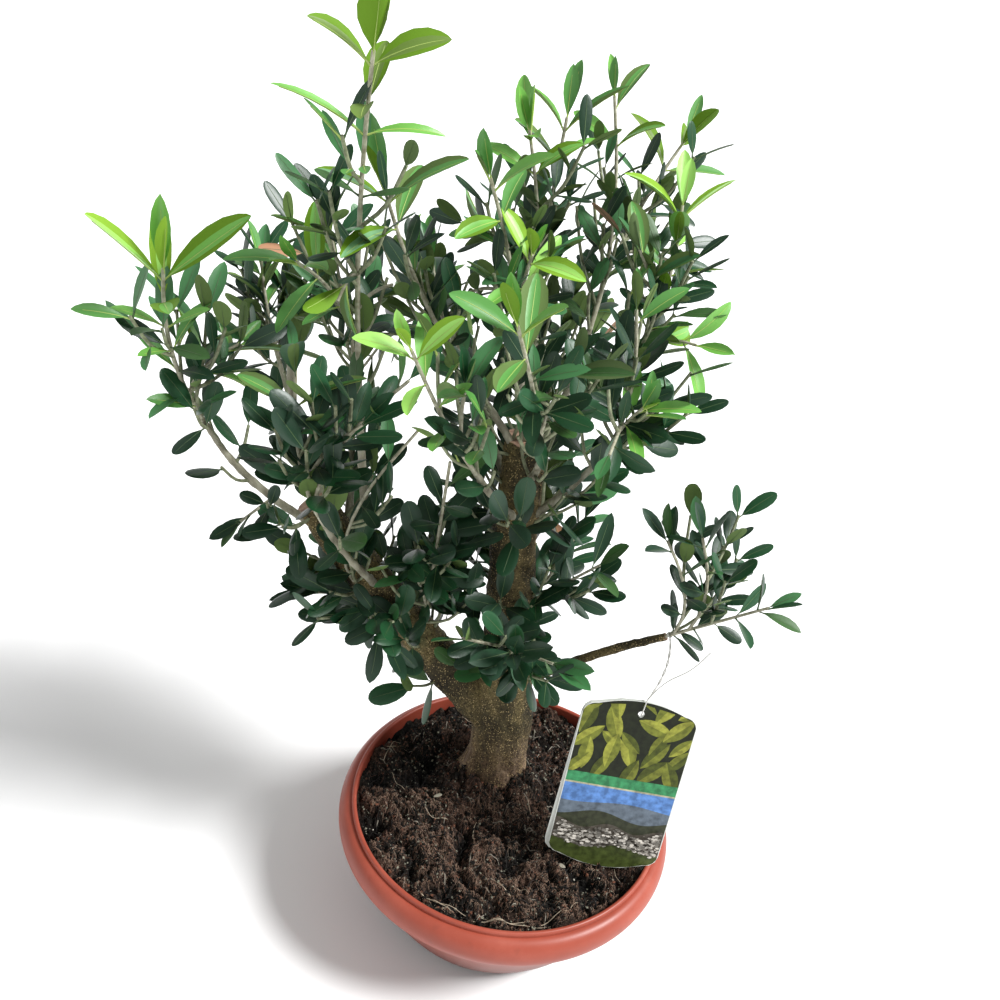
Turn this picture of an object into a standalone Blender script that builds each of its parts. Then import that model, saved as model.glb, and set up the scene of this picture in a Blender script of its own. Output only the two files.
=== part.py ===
"""Olive bonsai in its round bowl.

A leaning, forked trunk with sawn limbs stands in peat in a terracotta-coloured plastic bowl.
Thin boughs leave the trunk and its left limb, and each carries a mass of shoots and leaves.
A picture card hangs from the low right branch and rests on the bowl's lip.

Units are metres, +Z is up, -Y is the front. The origin is the middle of the bowl's underside.
"""
import math
import random
from collections import namedtuple

import bmesh
import bpy
from mathutils import Matrix, Vector
from mathutils.bvhtree import BVHTree

# ---------------------------------------------------------------- driving dimensions
GAP = 0.0003                    # clearance between neighbouring pieces
UP = Vector((0.0, 0.0, 1.0))

# bowl
POT_HEIGHT = 0.110
POT_WALL = 0.003
POT_FLOOR = 0.004
LIP_INNER = 0.1225              # radius inside the lip
LIP_OUTER = 0.1262
GROOVE_DEPTH = 0.0022           # how far below the lip's top the groove runs
BAND_TOP = 0.0040               # how far below the lip's top the rolled band begins
BAND_WIDTH = 0.0095             # how far the rolled band stands out
BAND_HEIGHT = 0.0265
BOWL_FOOT_RADIUS = 0.082
POT_STEPS = 40

# peat
SOIL_TOP = 0.102
SOIL_FLAT = 0.085               # radius of the level middle
SOIL_EDGE_DROP = 0.002

# trunk
TRUNK_FOOT = Vector((-0.012, 0.035, SOIL_TOP + GAP))
TRUNK_HEIGHT = 0.322
TRUNK_LEAN = -0.017             # sideways travel of the sawn top
TRUNK_RADII = (0.0235, 0.0145)
FLARE = 0.0042                  # extra radius at soil level
FLARE_HEIGHT = 0.012
FORK_SWELL = 0.0040             # extra radius where the left limb leaves
FORK_HEIGHT = 0.079
FORK_SPREAD = 0.035
TRUNK_SIDES = 12
TRUNK_STEPS = 11

# root flare: heading in degrees (0 is +X, 90 is the back) and how far each toe reaches
ROOT_TOES = ((192, 0.038), (248, 0.029), (322, 0.030), (38, 0.031), (112, 0.032))
TOE_RADII = (0.011, 0.004)
TOE_RISE = 0.026                # height at which a toe leaves the trunk
TOE_SINK = 0.004                # depth of its tip below the flat cut

# limbs and boughs: the carrier and how far along it the limb leaves, heading and rise in
# degrees at its two ends, its length along the curve, and its radii
Limb = namedtuple("Limb", "carrier along heading rise length radii")
LIMBS = {
    "limb_left": Limb("trunk", 0.185, (182, 186), (44, 56), 0.250, (0.0180, 0.0135)),
    "branch_right_low": Limb("trunk", 0.277, (4, -20), (42, 36), 0.147, (0.0044, 0.0031)),
    "stub_left": Limb("limb_left", 0.985, (165, 190), (70, 89), 0.118, (0.0036, 0.0026)),
    "bough_far_left": Limb("limb_left", 0.87, (196, 222), (30, 66), 0.142, (0.0042, 0.0031)),
    "bough_left_mid": Limb("limb_left", 0.82, (98, 110), (66, 86), 0.126, (0.0042, 0.0031)),
    "bough_left_front": Limb("limb_left", 0.66, (268, 225), (42, 60), 0.120, (0.0038, 0.0028)),
    "bough_left_back": Limb("limb_left", 0.92, (128, 150), (48, 66), 0.120, (0.0040, 0.0029)),
    "bough_leader": Limb("limb_left", 0.71, (238, 262), (82, 78), 0.190, (0.0046, 0.0032)),
    "bough_front_left": Limb("trunk", 0.796, (258, 232), (34, 52), 0.105, (0.0040, 0.0030)),
    "bough_front": Limb("trunk", 0.878, (292, 262), (42, 48), 0.088, (0.0040, 0.0029)),
    "bough_centre_left": Limb("trunk", 0.929, (205, 195), (62, 50), 0.075, (0.0040, 0.0030)),
    "bough_centre": Limb("trunk", 0.985, (250, 215), (66, 80), 0.075, (0.0040, 0.0029)),
    "bough_back": Limb("trunk", 0.949, (88, 110), (52, 78), 0.090, (0.0042, 0.0031)),
    "bough_right_back": Limb("trunk", 0.868, (55, 68), (52, 62), 0.125, (0.0042, 0.0031)),
    "bough_right": Limb("trunk", 0.964, (14, 22), (38, 56), 0.085, (0.0040, 0.0029)),
    "bough_right_front": Limb("trunk", 0.776, (338, 318), (48, 62), 0.095, (0.0040, 0.0029)),
    "bough_back_low": Limb("trunk", 0.694, (78, 92), (38, 56), 0.120, (0.0040, 0.0029)),
    "bough_back_left": Limb("trunk", 0.827, (132, 142), (40, 56), 0.120, (0.0040, 0.0029)),
}
LIMB_STEPS = 5
LIMB_SIDES = 8

# masses of foliage: the carrier and how far along it the stem leaves (1 is its tip), the
# stem's radius, and where its leading shoots end, the stem's own tip first
Mass = namedtuple("Mass", "carrier along radius tips")
MASSES = {
    "foliage_far_left": Mass("bough_far_left", 1.0, 0.0029, (
        (-0.241, -0.062, 0.545), (-0.222, 0.010, 0.474))),
    "foliage_left_side": Mass("bough_far_left", 0.42, 0.0020, (
        (-0.214, -0.017, 0.356),)),
    "foliage_left_mid": Mass("bough_left_mid", 1.0, 0.0026, (
        (-0.178, -0.020, 0.545), (-0.172, 0.045, 0.543))),
    "foliage_left_front": Mass("bough_left_front", 1.0, 0.0026, (
        (-0.170, -0.050, 0.496), (-0.104, -0.045, 0.492), (-0.128, -0.055, 0.464))),
    "foliage_left_back": Mass("bough_left_back", 1.0, 0.0027, (
        (-0.230, 0.092, 0.499), (-0.202, 0.120, 0.474), (-0.244, 0.068, 0.452))),
    "foliage_leader": Mass("bough_leader", 1.0, 0.0030, (
        (-0.130, -0.076, 0.672), (-0.126, 0.012, 0.528), (-0.151, -0.030, 0.529))),
    "foliage_front_left": Mass("bough_front_left", 1.0, 0.0027, (
        (-0.100, -0.082, 0.528), (-0.069, -0.070, 0.506))),
    "foliage_front": Mass("bough_front", 1.0, 0.0026, (
        (-0.045, -0.100, 0.557), (-0.012, -0.064, 0.525))),
    "foliage_centre_left": Mass("bough_centre_left", 1.0, 0.0029, (
        (-0.130, -0.017, 0.593), (-0.105, 0.034, 0.538))),
    "foliage_centre": Mass("bough_centre", 1.0, 0.0027, (
        (-0.072, -0.015, 0.607), (-0.043, -0.012, 0.567), (-0.087, 0.040, 0.514))),
    "foliage_back": Mass("bough_back", 1.0, 0.0029, (
        (-0.034, 0.100, 0.624), (-0.056, 0.068, 0.619), (-0.081, 0.122, 0.534))),
    "foliage_right_back": Mass("bough_right_back", 1.0, 0.0030, (
        (-0.005, 0.125, 0.637), (0.051, 0.155, 0.612), (0.055, 0.120, 0.535))),
    "foliage_right": Mass("bough_right", 1.0, 0.0027, (
        (0.049, 0.086, 0.583), (0.072, 0.045, 0.505), (0.023, 0.045, 0.562))),
    "foliage_right_front": Mass("bough_right_front", 1.0, 0.0026, (
        (0.023, -0.006, 0.541), (0.036, -0.030, 0.489), (0.019, -0.056, 0.468))),
    "foliage_back_low": Mass("bough_back_low", 1.0, 0.0027, (
        (-0.007, 0.166, 0.489), (0.046, 0.148, 0.433), (-0.043, 0.182, 0.431))),
    "foliage_back_left": Mass("bough_back_left", 1.0, 0.0027, (
        (-0.130, 0.142, 0.498), (-0.097, 0.170, 0.449), (-0.160, 0.130, 0.417))),
    "foliage_right_low": Mass("branch_right_low", 0.93, 0.0024, (
        (0.156, -0.005, 0.340), (0.079, 0.012, 0.372), (0.102, 0.012, 0.379))),
    "foliage_low_left": Mass("limb_left", 0.62, 0.0020, (
        (-0.164, 0.008, 0.286), (-0.108, -0.014, 0.269), (-0.098, -0.018, 0.447))),
    "foliage_fork": Mass("limb_left", 0.42, 0.0024, (
        (-0.076, -0.024, 0.430), (-0.100, -0.012, 0.341), (-0.063, 0.004, 0.300))),
    "foliage_low_front": Mass("trunk", 0.43, 0.0022, (
        (-0.017, -0.034, 0.291), (0.014, -0.022, 0.276), (-0.053, -0.030, 0.294))),
    "foliage_low_right": Mass("trunk", 0.531, 0.0022, (
        (0.035, 0.004, 0.349), (0.024, 0.060, 0.351))),
    "foliage_low_back": Mass("trunk", 0.47, 0.0022, (
        (-0.029, 0.110, 0.328), (0.013, 0.098, 0.295), (-0.077, 0.084, 0.312))),
}

# growth rule
SHOOT_BEND = 0.45               # how strongly a shoot holds its first direction
STEM_STEPS = 5
FORK_STEPS = 4
SIDE_STEPS = 2
FORK_FIRST = 0.20               # where the second leading shoot leaves the stem
FORK_STEP = 0.14
SIDE_FIRST = 0.12               # where side shoots begin along a leading shoot
SIDE_LAST = 0.62
SIDE_STEP = 0.038
SIDE_LENGTH = (0.036, 0.062)
SIDE_SPREAD = (40, 60)          # degrees away from the leading shoot
SIDE_UP = 0.7                   # how strongly they turn upright
GOLDEN_TURN = 137.5
SHOOT_TIP_RADIUS = 0.0017
SIDE_RADIUS = 0.0021

# leaves, fewer and larger than on the living plant
LEAF_LENGTH = 0.050
LEAF_WIDTH = 0.0190
LEAF_THICKNESS = 0.0026
LEAF_STEP = 0.040               # between pairs along a shoot
LEAF_FIRST = 0.34               # bare lower part of a leading shoot
LEAF_SPREAD = (40, 60)
TIP_SPREAD = (28, 38)
TIP_BACK = 0.005                # from the shoot's end to its last pair
LEAF_ROOT_SINK = 0.0006

STEM_GAP = 0.0005               # between a bough's tip and the stem that grows on from it
SPACE_MARGIN = 0.0022           # between a leaf and the edge of its mass's space
LIMB_MARGIN = 0.0022            # between a leaf and any limb

# picture card
CARD_WIDTH = 0.087
CARD_HEIGHT = 0.150
CARD_THICKNESS = 0.0009
CARD_CORNER = 0.010
CARD_ARCH = 0.007               # rise of its curved top and bottom edges
CARD_CENTRE = Vector((0.0812, -0.0351, 0.1782))
CARD_YAW = 3.0
CARD_LEAN_BACK = 12.0
CARD_LEAN_SIDE = 4.0
CARD_SPLAY = 1.5                # turn of the rear leaf behind the front one
HOLE_RADIUS = 0.0025
HOLE_DOWN = 0.011               # from the card's top edge
TIE_RADIUS = 0.0008
TIE_ALONG = 0.16                # where it hangs along the low right shoot
TIE_OVER_EDGE = 0.016           # how far above the hole it leaves the card's face
TIE_SLACK = 0.007

Finish = namedtuple("Finish", "colour roughness")
TERRACOTTA = Finish((0.52, 0.13, 0.07), 0.42)
PEAT = Finish((0.030, 0.018, 0.011), 0.95)
BARK = Finish((0.17, 0.15, 0.09), 0.85)
YOUNG_BARK = Finish((0.30, 0.31, 0.22), 0.75)
LEAF_GREEN = Finish((0.045, 0.110, 0.060), 0.45)
CARD_WHITE = Finish((0.62, 0.68, 0.58), 0.40)
CORD_WHITE = Finish((0.80, 0.80, 0.76), 0.70)


# ---------------------------------------------------------------- scene helpers
def clear_scene():
    for item in list(bpy.data.objects):
        bpy.data.objects.remove(item)


def material(name, finish):
    """Principled material of one colour, made once."""
    if name in bpy.data.materials:
        return bpy.data.materials[name]
    made = bpy.data.materials.new(name)
    made.use_nodes = True
    shader = made.node_tree.nodes["Principled BSDF"]
    shader.inputs["Base Color"].default_value = (*finish.colour, 1.0)
    shader.inputs["Roughness"].default_value = finish.roughness
    made.diffuse_color = (*finish.colour, 1.0)
    return made


def add_object(name, data, finish_name=None, finish=None):
    item = bpy.data.objects.new(name, data)
    bpy.data.collections["olive_bonsai"].objects.link(item)
    if finish:
        data.materials.clear()
        data.materials.append(material(finish_name, finish))
    return item


def evaluated_mesh(item):
    """The object's final mesh as new data, with loose caps welded."""
    bpy.context.view_layer.update()
    graph = bpy.context.evaluated_depsgraph_get()
    mesh = bpy.data.meshes.new_from_object(item.evaluated_get(graph))
    work = bmesh.new()
    work.from_mesh(mesh)
    bmesh.ops.remove_doubles(work, verts=work.verts, dist=1e-6)
    bmesh.ops.recalc_face_normals(work, faces=work.faces)
    work.to_mesh(mesh)
    work.free()
    return mesh


def settle(item):
    """Turns a curve or a modified object into a plain mesh object of the same name."""
    mesh = evaluated_mesh(item)
    name = item.name
    finishes = list(item.data.materials)
    bpy.data.objects.remove(item)
    plain = add_object(name, mesh)
    mesh.materials.clear()
    for finish in finishes:
        mesh.materials.append(finish)
    return plain


def combine(target, others, operation):
    """Joins or cuts target with the other objects in one Boolean, then removes them."""
    group = bpy.data.collections.new("operands")
    bpy.context.scene.collection.children.link(group)
    for other in others:
        group.objects.link(other)
    step = target.modifiers.new(operation.lower(), "BOOLEAN")
    step.operation = operation
    step.operand_type = "COLLECTION"
    step.collection = group
    plain = settle(target)
    for other in list(group.objects):
        bpy.data.objects.remove(other)
    bpy.data.collections.remove(group)
    return plain


def keep_main_body(item):
    """Drops loose scraps and fills sealed hollows: only the largest shell stays."""
    work = bmesh.new()
    work.from_mesh(item.data)
    unseen = set(work.faces)
    shells = []
    while unseen:
        shell = [unseen.pop()]
        for face in shell:
            for edge in face.edges:
                for other in edge.link_faces:
                    if other in unseen:
                        unseen.remove(other)
                        shell.append(other)
        shells.append(shell)
    shells.sort(key=len, reverse=True)
    for shell in shells[1:]:
        bmesh.ops.delete(work, geom=shell, context="FACES")
    work.to_mesh(item.data)
    work.free()


def smooth(item, angle=40):
    item.data.shade_smooth()
    item.data.set_sharp_from_angle(angle=math.radians(angle))


# ---------------------------------------------------------------- curves and paths
def direction(heading, rise):
    heading = math.radians(heading)
    rise = math.radians(rise)
    flat = math.cos(rise)
    return Vector((flat * math.cos(heading), flat * math.sin(heading), math.sin(rise)))


def mix(pair, share):
    return pair[0] + (pair[1] - pair[0]) * share


def point_along(path, share):
    """The point and the direction at a share of a path's steps."""
    place = min(max(share, 0.0), 1.0) * (len(path) - 1)
    index = min(int(place), len(path) - 2)
    step = path[index + 1] - path[index]
    return path[index] + step * (place - index), step.normalized()


def trunk_path():
    path = []
    for step in range(TRUNK_STEPS + 1):
        share = step / TRUNK_STEPS
        ease = share * share * (3.0 - 2.0 * share)
        path.append(TRUNK_FOOT + Vector((TRUNK_LEAN * ease, 0.0, TRUNK_HEIGHT * share)))
    return path


def trunk_radius(share):
    height = share * TRUNK_HEIGHT
    flare = FLARE * math.exp(-height / FLARE_HEIGHT)
    swell = FORK_SWELL * math.exp(-((height - FORK_HEIGHT) / FORK_SPREAD) ** 2)
    return mix(TRUNK_RADII, share) + flare + swell


def limb_path(limb, start):
    """Steps of equal length whose heading and rise change evenly."""
    path = [start.copy()]
    for step in range(LIMB_STEPS):
        share = (step + 0.5) / LIMB_STEPS
        turn = direction(mix(limb.heading, share), mix(limb.rise, share))
        path.append(path[-1] + turn * (limb.length / LIMB_STEPS))
    return path


def shoot_path(start, aim, tip, steps):
    """A quadratic curve that leaves start along aim and ends at tip."""
    bend = start + aim * ((tip - start).length * SHOOT_BEND)
    path = []
    for step in range(steps + 1):
        share = step / steps
        first = start.lerp(bend, share)
        path.append(first.lerp(bend.lerp(tip, share), share))
    return path


def ring_profile(sides):
    """A closed unit polygon that tubes are swept with, made once for each number of sides."""
    name = "profile_%d" % sides
    if name in bpy.data.objects:
        return bpy.data.objects[name]
    data = bpy.data.curves.new(name, "CURVE")
    data.dimensions = "2D"
    line = data.splines.new("POLY")
    line.points.add(sides - 1)
    for index, point in enumerate(line.points):
        angle = 2.0 * math.pi * index / sides
        point.co = (math.cos(angle), math.sin(angle), 0.0, 1.0)
    line.use_cyclic_u = True
    item = bpy.data.objects.new(name, data)
    bpy.data.collections["guides"].objects.link(item)
    item.hide_render = True
    item.display_type = "WIRE"
    return item


def tube(name, path, radii, sides, finish_name, finish):
    """A tapering tube with closed ends along a path."""
    data = bpy.data.curves.new(name, "CURVE")
    data.dimensions = "3D"
    data.bevel_mode = "OBJECT"
    data.bevel_object = ring_profile(sides)
    data.use_fill_caps = True
    line = data.splines.new("POLY")
    line.points.add(len(path) - 1)
    for point, place, radius in zip(line.points, path, radii):
        point.co = (*place, 1.0)
        point.radius = radius
    return add_object(name, data, finish_name, finish)


def limb_tube(name, path, radii, sides, extra=0.0):
    sizes = [mix(radii, step / (len(path) - 1)) + extra for step in range(len(path))]
    return tube(name, path, sizes, sides, "bark", BARK)


# ---------------------------------------------------------------- bowl and peat
def bowl_radius(height, inset=0.0):
    """Outer radius of the tapering bowl below the rolled band."""
    shoulder = POT_HEIGHT - BAND_TOP - BAND_HEIGHT
    share = min(height / shoulder, 1.0)
    return mix((BOWL_FOOT_RADIUS, LIP_OUTER), share ** 0.75) - inset


def turned(name, profile, finish_name, finish):
    """A profile in the XZ plane turned round the Z axis."""
    work = bmesh.new()
    verts = [work.verts.new((radius, 0.0, height)) for radius, height in profile]
    for first, second in zip(verts, verts[1:]):
        work.edges.new((first, second))
    mesh = bpy.data.meshes.new(name)
    work.to_mesh(mesh)
    work.free()
    item = add_object(name, mesh, finish_name, finish)
    screw = item.modifiers.new("turn", "SCREW")
    screw.axis = "Z"
    screw.angle = 2.0 * math.pi
    screw.steps = POT_STEPS
    screw.render_steps = POT_STEPS
    screw.use_merge_vertices = True
    screw.merge_threshold = 0.00001
    item = settle(item)
    smooth(item)
    return item


def build_pot():
    shoulder = POT_HEIGHT - BAND_TOP - BAND_HEIGHT
    inner_heights = (0.35 * shoulder, 0.7 * shoulder, shoulder)
    inner = [(0.0, POT_FLOOR), (bowl_radius(POT_FLOOR, POT_WALL), POT_FLOOR)]
    inner += [(bowl_radius(height, POT_WALL), height) for height in inner_heights]
    bead = 0.5 * (LIP_OUTER - LIP_INNER)
    lip = []
    for angle in (180, 120, 60, 0):
        turn = math.radians(angle)
        lip.append((LIP_INNER + bead + bead * math.cos(turn),
                    POT_HEIGHT - bead + bead * math.sin(turn)))
    groove = [(LIP_OUTER, POT_HEIGHT - bead - GROOVE_DEPTH)]
    band = []
    for angle in (90, 62, 36, 12, -12, -36, -62, -90):
        turn = math.radians(angle)
        middle = POT_HEIGHT - BAND_TOP - 0.5 * BAND_HEIGHT
        band.append((LIP_OUTER + 0.0004 + BAND_WIDTH * math.cos(turn),
                     middle + 0.5 * BAND_HEIGHT * math.sin(turn)))
    outer = [(bowl_radius(share * shoulder), share * shoulder) for share in (0.66, 0.33, 0.08)]
    foot = [(BOWL_FOOT_RADIUS, 0.0), (0.0, 0.0)]
    turned("pot", inner + lip + groove + band + outer + foot, "terracotta", TERRACOTTA)


def build_soil():
    floor = POT_FLOOR + GAP
    edge = SOIL_TOP - SOIL_EDGE_DROP
    shoulder = POT_HEIGHT - BAND_TOP - BAND_HEIGHT
    inset = POT_WALL + 2.0 * GAP
    profile = [(0.0, SOIL_TOP), (SOIL_FLAT, SOIL_TOP), (LIP_INNER - 0.004, edge + 0.001),
               (LIP_INNER - 3.0 * GAP, edge)]
    profile += [(bowl_radius(height, inset), height)
                for height in (shoulder, 0.7 * shoulder, 0.35 * shoulder, floor)]
    profile.append((0.0, floor))
    turned("soil", profile, "peat", PEAT)


# ---------------------------------------------------------------- trunk and limbs
def build_trunk(paths):
    """Tapering trunk with root toes, cut flat where it meets the peat."""
    path = paths["trunk"]
    lowered = [path[0] - UP * 0.02] + path
    radii = [trunk_radius(0.0)] + [trunk_radius(step / TRUNK_STEPS)
                                   for step in range(TRUNK_STEPS + 1)]
    trunk = settle(tube("trunk", lowered, radii, TRUNK_SIDES, "bark", BARK))
    toes = []
    for index, (heading, reach) in enumerate(ROOT_TOES):
        high = TRUNK_FOOT + UP * TOE_RISE
        low = TRUNK_FOOT + direction(heading, 0) * reach - UP * TOE_SINK
        middle = high.lerp(low, 0.55) - UP * (0.25 * TOE_RISE)
        inner = TRUNK_FOOT + direction(heading, 0) * 0.004 + UP * TOE_RISE
        path_down = [inner, middle, low]
        sizes = [TOE_RADII[0], mix(TOE_RADII, 0.4), TOE_RADII[1]]
        toes.append(settle(tube("toe_%d" % index, path_down, sizes, LIMB_SIDES, "bark", BARK)))
    trunk = combine(trunk, toes, "UNION")
    bpy.ops.mesh.primitive_cube_add(size=0.2)
    ground = bpy.context.object
    ground.location = TRUNK_FOOT - UP * 0.1
    ground = settle_transform(ground)
    trunk = combine(trunk, [ground], "DIFFERENCE")
    keep_main_body(trunk)
    smooth(trunk, 50)


def settle_transform(item):
    """Writes an object's place into its mesh."""
    bpy.context.view_layer.update()
    item.data.transform(item.matrix_world)
    item.matrix_world = Matrix.Identity(4)
    return item


def carrier_cutter(name, paths, radii):
    """The carrier's tube, larger all round by the clearance."""
    path = paths[name]
    if name == "trunk":
        sizes = [trunk_radius(step / TRUNK_STEPS) + GAP for step in range(TRUNK_STEPS + 1)]
        return settle(tube("cutter", path, sizes, TRUNK_SIDES, "bark", BARK))
    sides = TRUNK_SIDES if name == "limb_left" else LIMB_SIDES
    return settle(limb_tube("cutter", path, radii[name], sides, GAP))


def build_limbs(paths, radii):
    for name, limb in LIMBS.items():
        sides = TRUNK_SIDES if name == "limb_left" else LIMB_SIDES
        item = settle(limb_tube(name, paths[name], limb.radii, sides))
        item = combine(item, [carrier_cutter(limb.carrier, paths, radii)], "DIFFERENCE")
        keep_main_body(item)
        smooth(item, 50)


# ---------------------------------------------------------------- growth rule
Shoot = namedtuple("Shoot", "path radii leading")


def side_direction(tangent, turn, spread):
    """A direction at an angle to tangent, turned about it from the upright."""
    across = tangent.cross(UP)
    if across.length < 0.1:
        across = tangent.cross(Vector((1.0, 0.0, 0.0)))
    across.normalize()
    across = Matrix.Rotation(math.radians(turn), 3, tangent) @ across
    spread = math.radians(spread)
    return tangent * math.cos(spread) + across * math.sin(spread)


def leading_shoots(mass, start, aim):
    """The mass's stem, and the other leading shoots that fork from it."""
    stem = shoot_path(start, aim, Vector(mass.tips[0]), STEM_STEPS)
    shoots = [Shoot(stem, (mass.radius, SHOOT_TIP_RADIUS), True)]
    for index, tip in enumerate(mass.tips[1:]):
        share = FORK_FIRST + FORK_STEP * index
        fork, tangent = point_along(stem, share)
        aim = (tangent + (Vector(tip) - fork).normalized()).normalized()
        radius = max(0.8 * mix((mass.radius, SHOOT_TIP_RADIUS), share), SIDE_RADIUS)
        shoots.append(Shoot(shoot_path(fork, aim, Vector(tip), FORK_STEPS),
                            (radius, SHOOT_TIP_RADIUS), True))
    return shoots


def side_shoots(leader, seed):
    """Shorter shoots that leave a leading shoot by turns, and bend upward."""
    chance = random.Random(seed)
    length = (leader.path[-1] - leader.path[0]).length
    turn = chance.uniform(0, 360)
    shoots = []
    along = SIDE_FIRST * length
    while along < SIDE_LAST * length:
        share = along / length
        start, tangent = point_along(leader.path, share)
        aim = side_direction(tangent, turn, chance.uniform(*SIDE_SPREAD))
        reach = chance.uniform(*SIDE_LENGTH) * (1.2 - 0.5 * share)
        tip = start + (aim + UP * SIDE_UP).normalized() * reach
        shoots.append(Shoot(shoot_path(start, aim, tip, SIDE_STEPS),
                            (SIDE_RADIUS, SHOOT_TIP_RADIUS), False))
        turn += GOLDEN_TURN + chance.uniform(-20, 20)
        along += SIDE_STEP * chance.uniform(0.85, 1.2)
    return shoots


class Space:
    """Which points belong to which mass, and where the limbs are."""

    def __init__(self, stems, paths, radii):
        self.stems = stems
        self.limbs = []
        for name, path in paths.items():
            for step in range(4 * (len(path) - 1) + 1):
                share = step / (4 * (len(path) - 1))
                place, _ = point_along(path, share)
                radius = trunk_radius(share) if name == "trunk" else mix(radii[name], share)
                self.limbs.append((place, radius))

    def free(self, owner, point):
        """True where a point is nearest to its own mass and clear of every limb."""
        own = min((point - place).length for place in self.stems[owner])
        for name, places in self.stems.items():
            if name == owner:
                continue
            for place in places:
                if (point - place).length < own + 2.0 * SPACE_MARGIN:
                    return False
        return all((point - place).length > radius + LIMB_MARGIN for place, radius in self.limbs)


# ---------------------------------------------------------------- leaves and masses
def leaf_mesh():
    """A pointed blade of eight faces, root at the origin, along +X, upper side +Z."""
    if "leaf" in bpy.data.meshes:
        return bpy.data.meshes["leaf"]
    work = bmesh.new()
    bmesh.ops.create_uvsphere(work, u_segments=4, v_segments=2, radius=1.0)
    for vert in work.verts:
        along, across, lift = vert.co.z, vert.co.x, vert.co.y
        broad = 0.45 if abs(along) < 0.5 else 0.5 + 0.5 * along
        droop = -0.03 * (along > 0.5)
        vert.co = Vector((broad * LEAF_LENGTH, 0.5 * LEAF_WIDTH * across,
                          0.5 * LEAF_THICKNESS * lift + droop * LEAF_LENGTH))
    bmesh.ops.recalc_face_normals(work, faces=work.faces)
    mesh = bpy.data.meshes.new("leaf")
    work.to_mesh(mesh)
    work.free()
    return mesh


def leaf_frame(root, outward, tangent, size):
    """Places a leaf whose upper side looks along its shoot."""
    along = outward.normalized()
    upper = (tangent - along * tangent.dot(along)).normalized()
    across = upper.cross(along)
    turn = Matrix((along, across, upper)).transposed().to_4x4()
    start = root - along * LEAF_ROOT_SINK
    return Matrix.Translation(start) @ turn @ Matrix.Scale(size, 4)


def blade_tree(frame):
    """The blade without its root, as two triangles that can be tested for crossings."""
    corners = [(0.14, 0.0), (0.5, 0.5), (1.0, 0.0), (0.5, -0.5)]
    points = [frame @ Vector((along * LEAF_LENGTH, across * LEAF_WIDTH, 0.0))
              for along, across in corners]
    return BVHTree.FromPolygons(points, [(0, 1, 2), (0, 2, 3)])


def leaf_fits(frame, owner, space, grown):
    """Tests the blade against its mass's space, the limbs and what has grown already."""
    for along, across in ((1.0, 0.0), (0.72, 0.25), (0.72, -0.25), (0.45, 0.5), (0.45, -0.5),
                          (0.45, 0.0), (0.3, 0.0)):
        point = frame @ Vector((along * LEAF_LENGTH, across * LEAF_WIDTH, 0.0))
        if not space.free(owner, point):
            return False
    blade = blade_tree(frame)
    if any(blade.overlap(other) for other in grown):
        return False
    grown.append(blade)
    return True


def shoot_leaves(shoot, owner, space, grown, seed):
    """Opposite pairs, each turned a quarter from the last, and a pair at the tip."""
    chance = random.Random(seed)
    length = (shoot.path[-1] - shoot.path[0]).length
    turn = chance.uniform(0, 180)
    stations = []
    along = length * LEAF_FIRST if shoot.leading else 0.6 * length
    while along < length - 0.012:
        stations.append((along / length, LEAF_SPREAD))
        along += LEAF_STEP * chance.uniform(0.9, 1.1)
    stations.append((1.0, TIP_SPREAD))
    frames = []
    for share, spread in stations:
        root, tangent = point_along(shoot.path, share)
        if share == 1.0:
            root = root - tangent * TIP_BACK
        for side in (0, 180):
            outward = side_direction(tangent, turn + side, chance.uniform(*spread))
            frame = leaf_frame(root, outward, tangent, chance.uniform(0.85, 1.1))
            if leaf_fits(frame, owner, space, grown):
                frames.append(frame)
        turn += 90 + chance.uniform(-15, 15)
    return frames


def shoot_fits(shoot, owner, space):
    return all(space.free(owner, point) for point in shoot.path[1:])


def plan_mass(name, paths, radii):
    """Where a mass's stem leaves its carrier, and its leading shoots."""
    mass = MASSES[name]
    start, tangent = point_along(paths[mass.carrier], mass.along)
    if mass.along == 1.0:
        start = start + tangent * STEM_GAP
        aim = tangent
    else:
        aim = (Vector(mass.tips[0]) - start).normalized()
    return leading_shoots(mass, start, aim)


def build_mass(name, leaders, paths, radii, space):
    """One solid: the stem's shoots and leaves, fused."""
    mass = MASSES[name]
    shoots = list(leaders)
    for index, leader in enumerate(leaders):
        for side in side_shoots(leader, "%s side %d" % (name, index)):
            if shoot_fits(side, name, space):
                shoots.append(side)
    pieces = []
    for index, shoot in enumerate(shoots):
        sizes = [mix(shoot.radii, step / (len(shoot.path) - 1)) for step in range(len(shoot.path))]
        twig = tube("%s_%d" % (name, index), shoot.path, sizes, 3, "leaf", LEAF_GREEN)
        pieces.append(settle(twig))
    twigs = [BVHTree.FromPolygons([vert.co for vert in piece.data.vertices],
                                  [face.vertices for face in piece.data.polygons])
             for piece in pieces]
    grown = []
    for index, shoot in enumerate(shoots):
        others = [twig for place, twig in enumerate(twigs) if place != index] + grown
        known = len(others)
        for frame in shoot_leaves(shoot, name, space, others, "%s leaves %d" % (name, index)):
            blade = add_object("blade", leaf_mesh().copy(), "leaf", LEAF_GREEN)
            blade.data.transform(frame)
            pieces.append(blade)
        grown += others[known:]
    stem = pieces[0]
    stem.name = name
    fused = combine(stem, pieces[1:], "UNION")
    if mass.along < 1.0:
        fused = combine(fused, [carrier_cutter(mass.carrier, paths, radii)], "DIFFERENCE")
    keep_main_body(fused)


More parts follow.
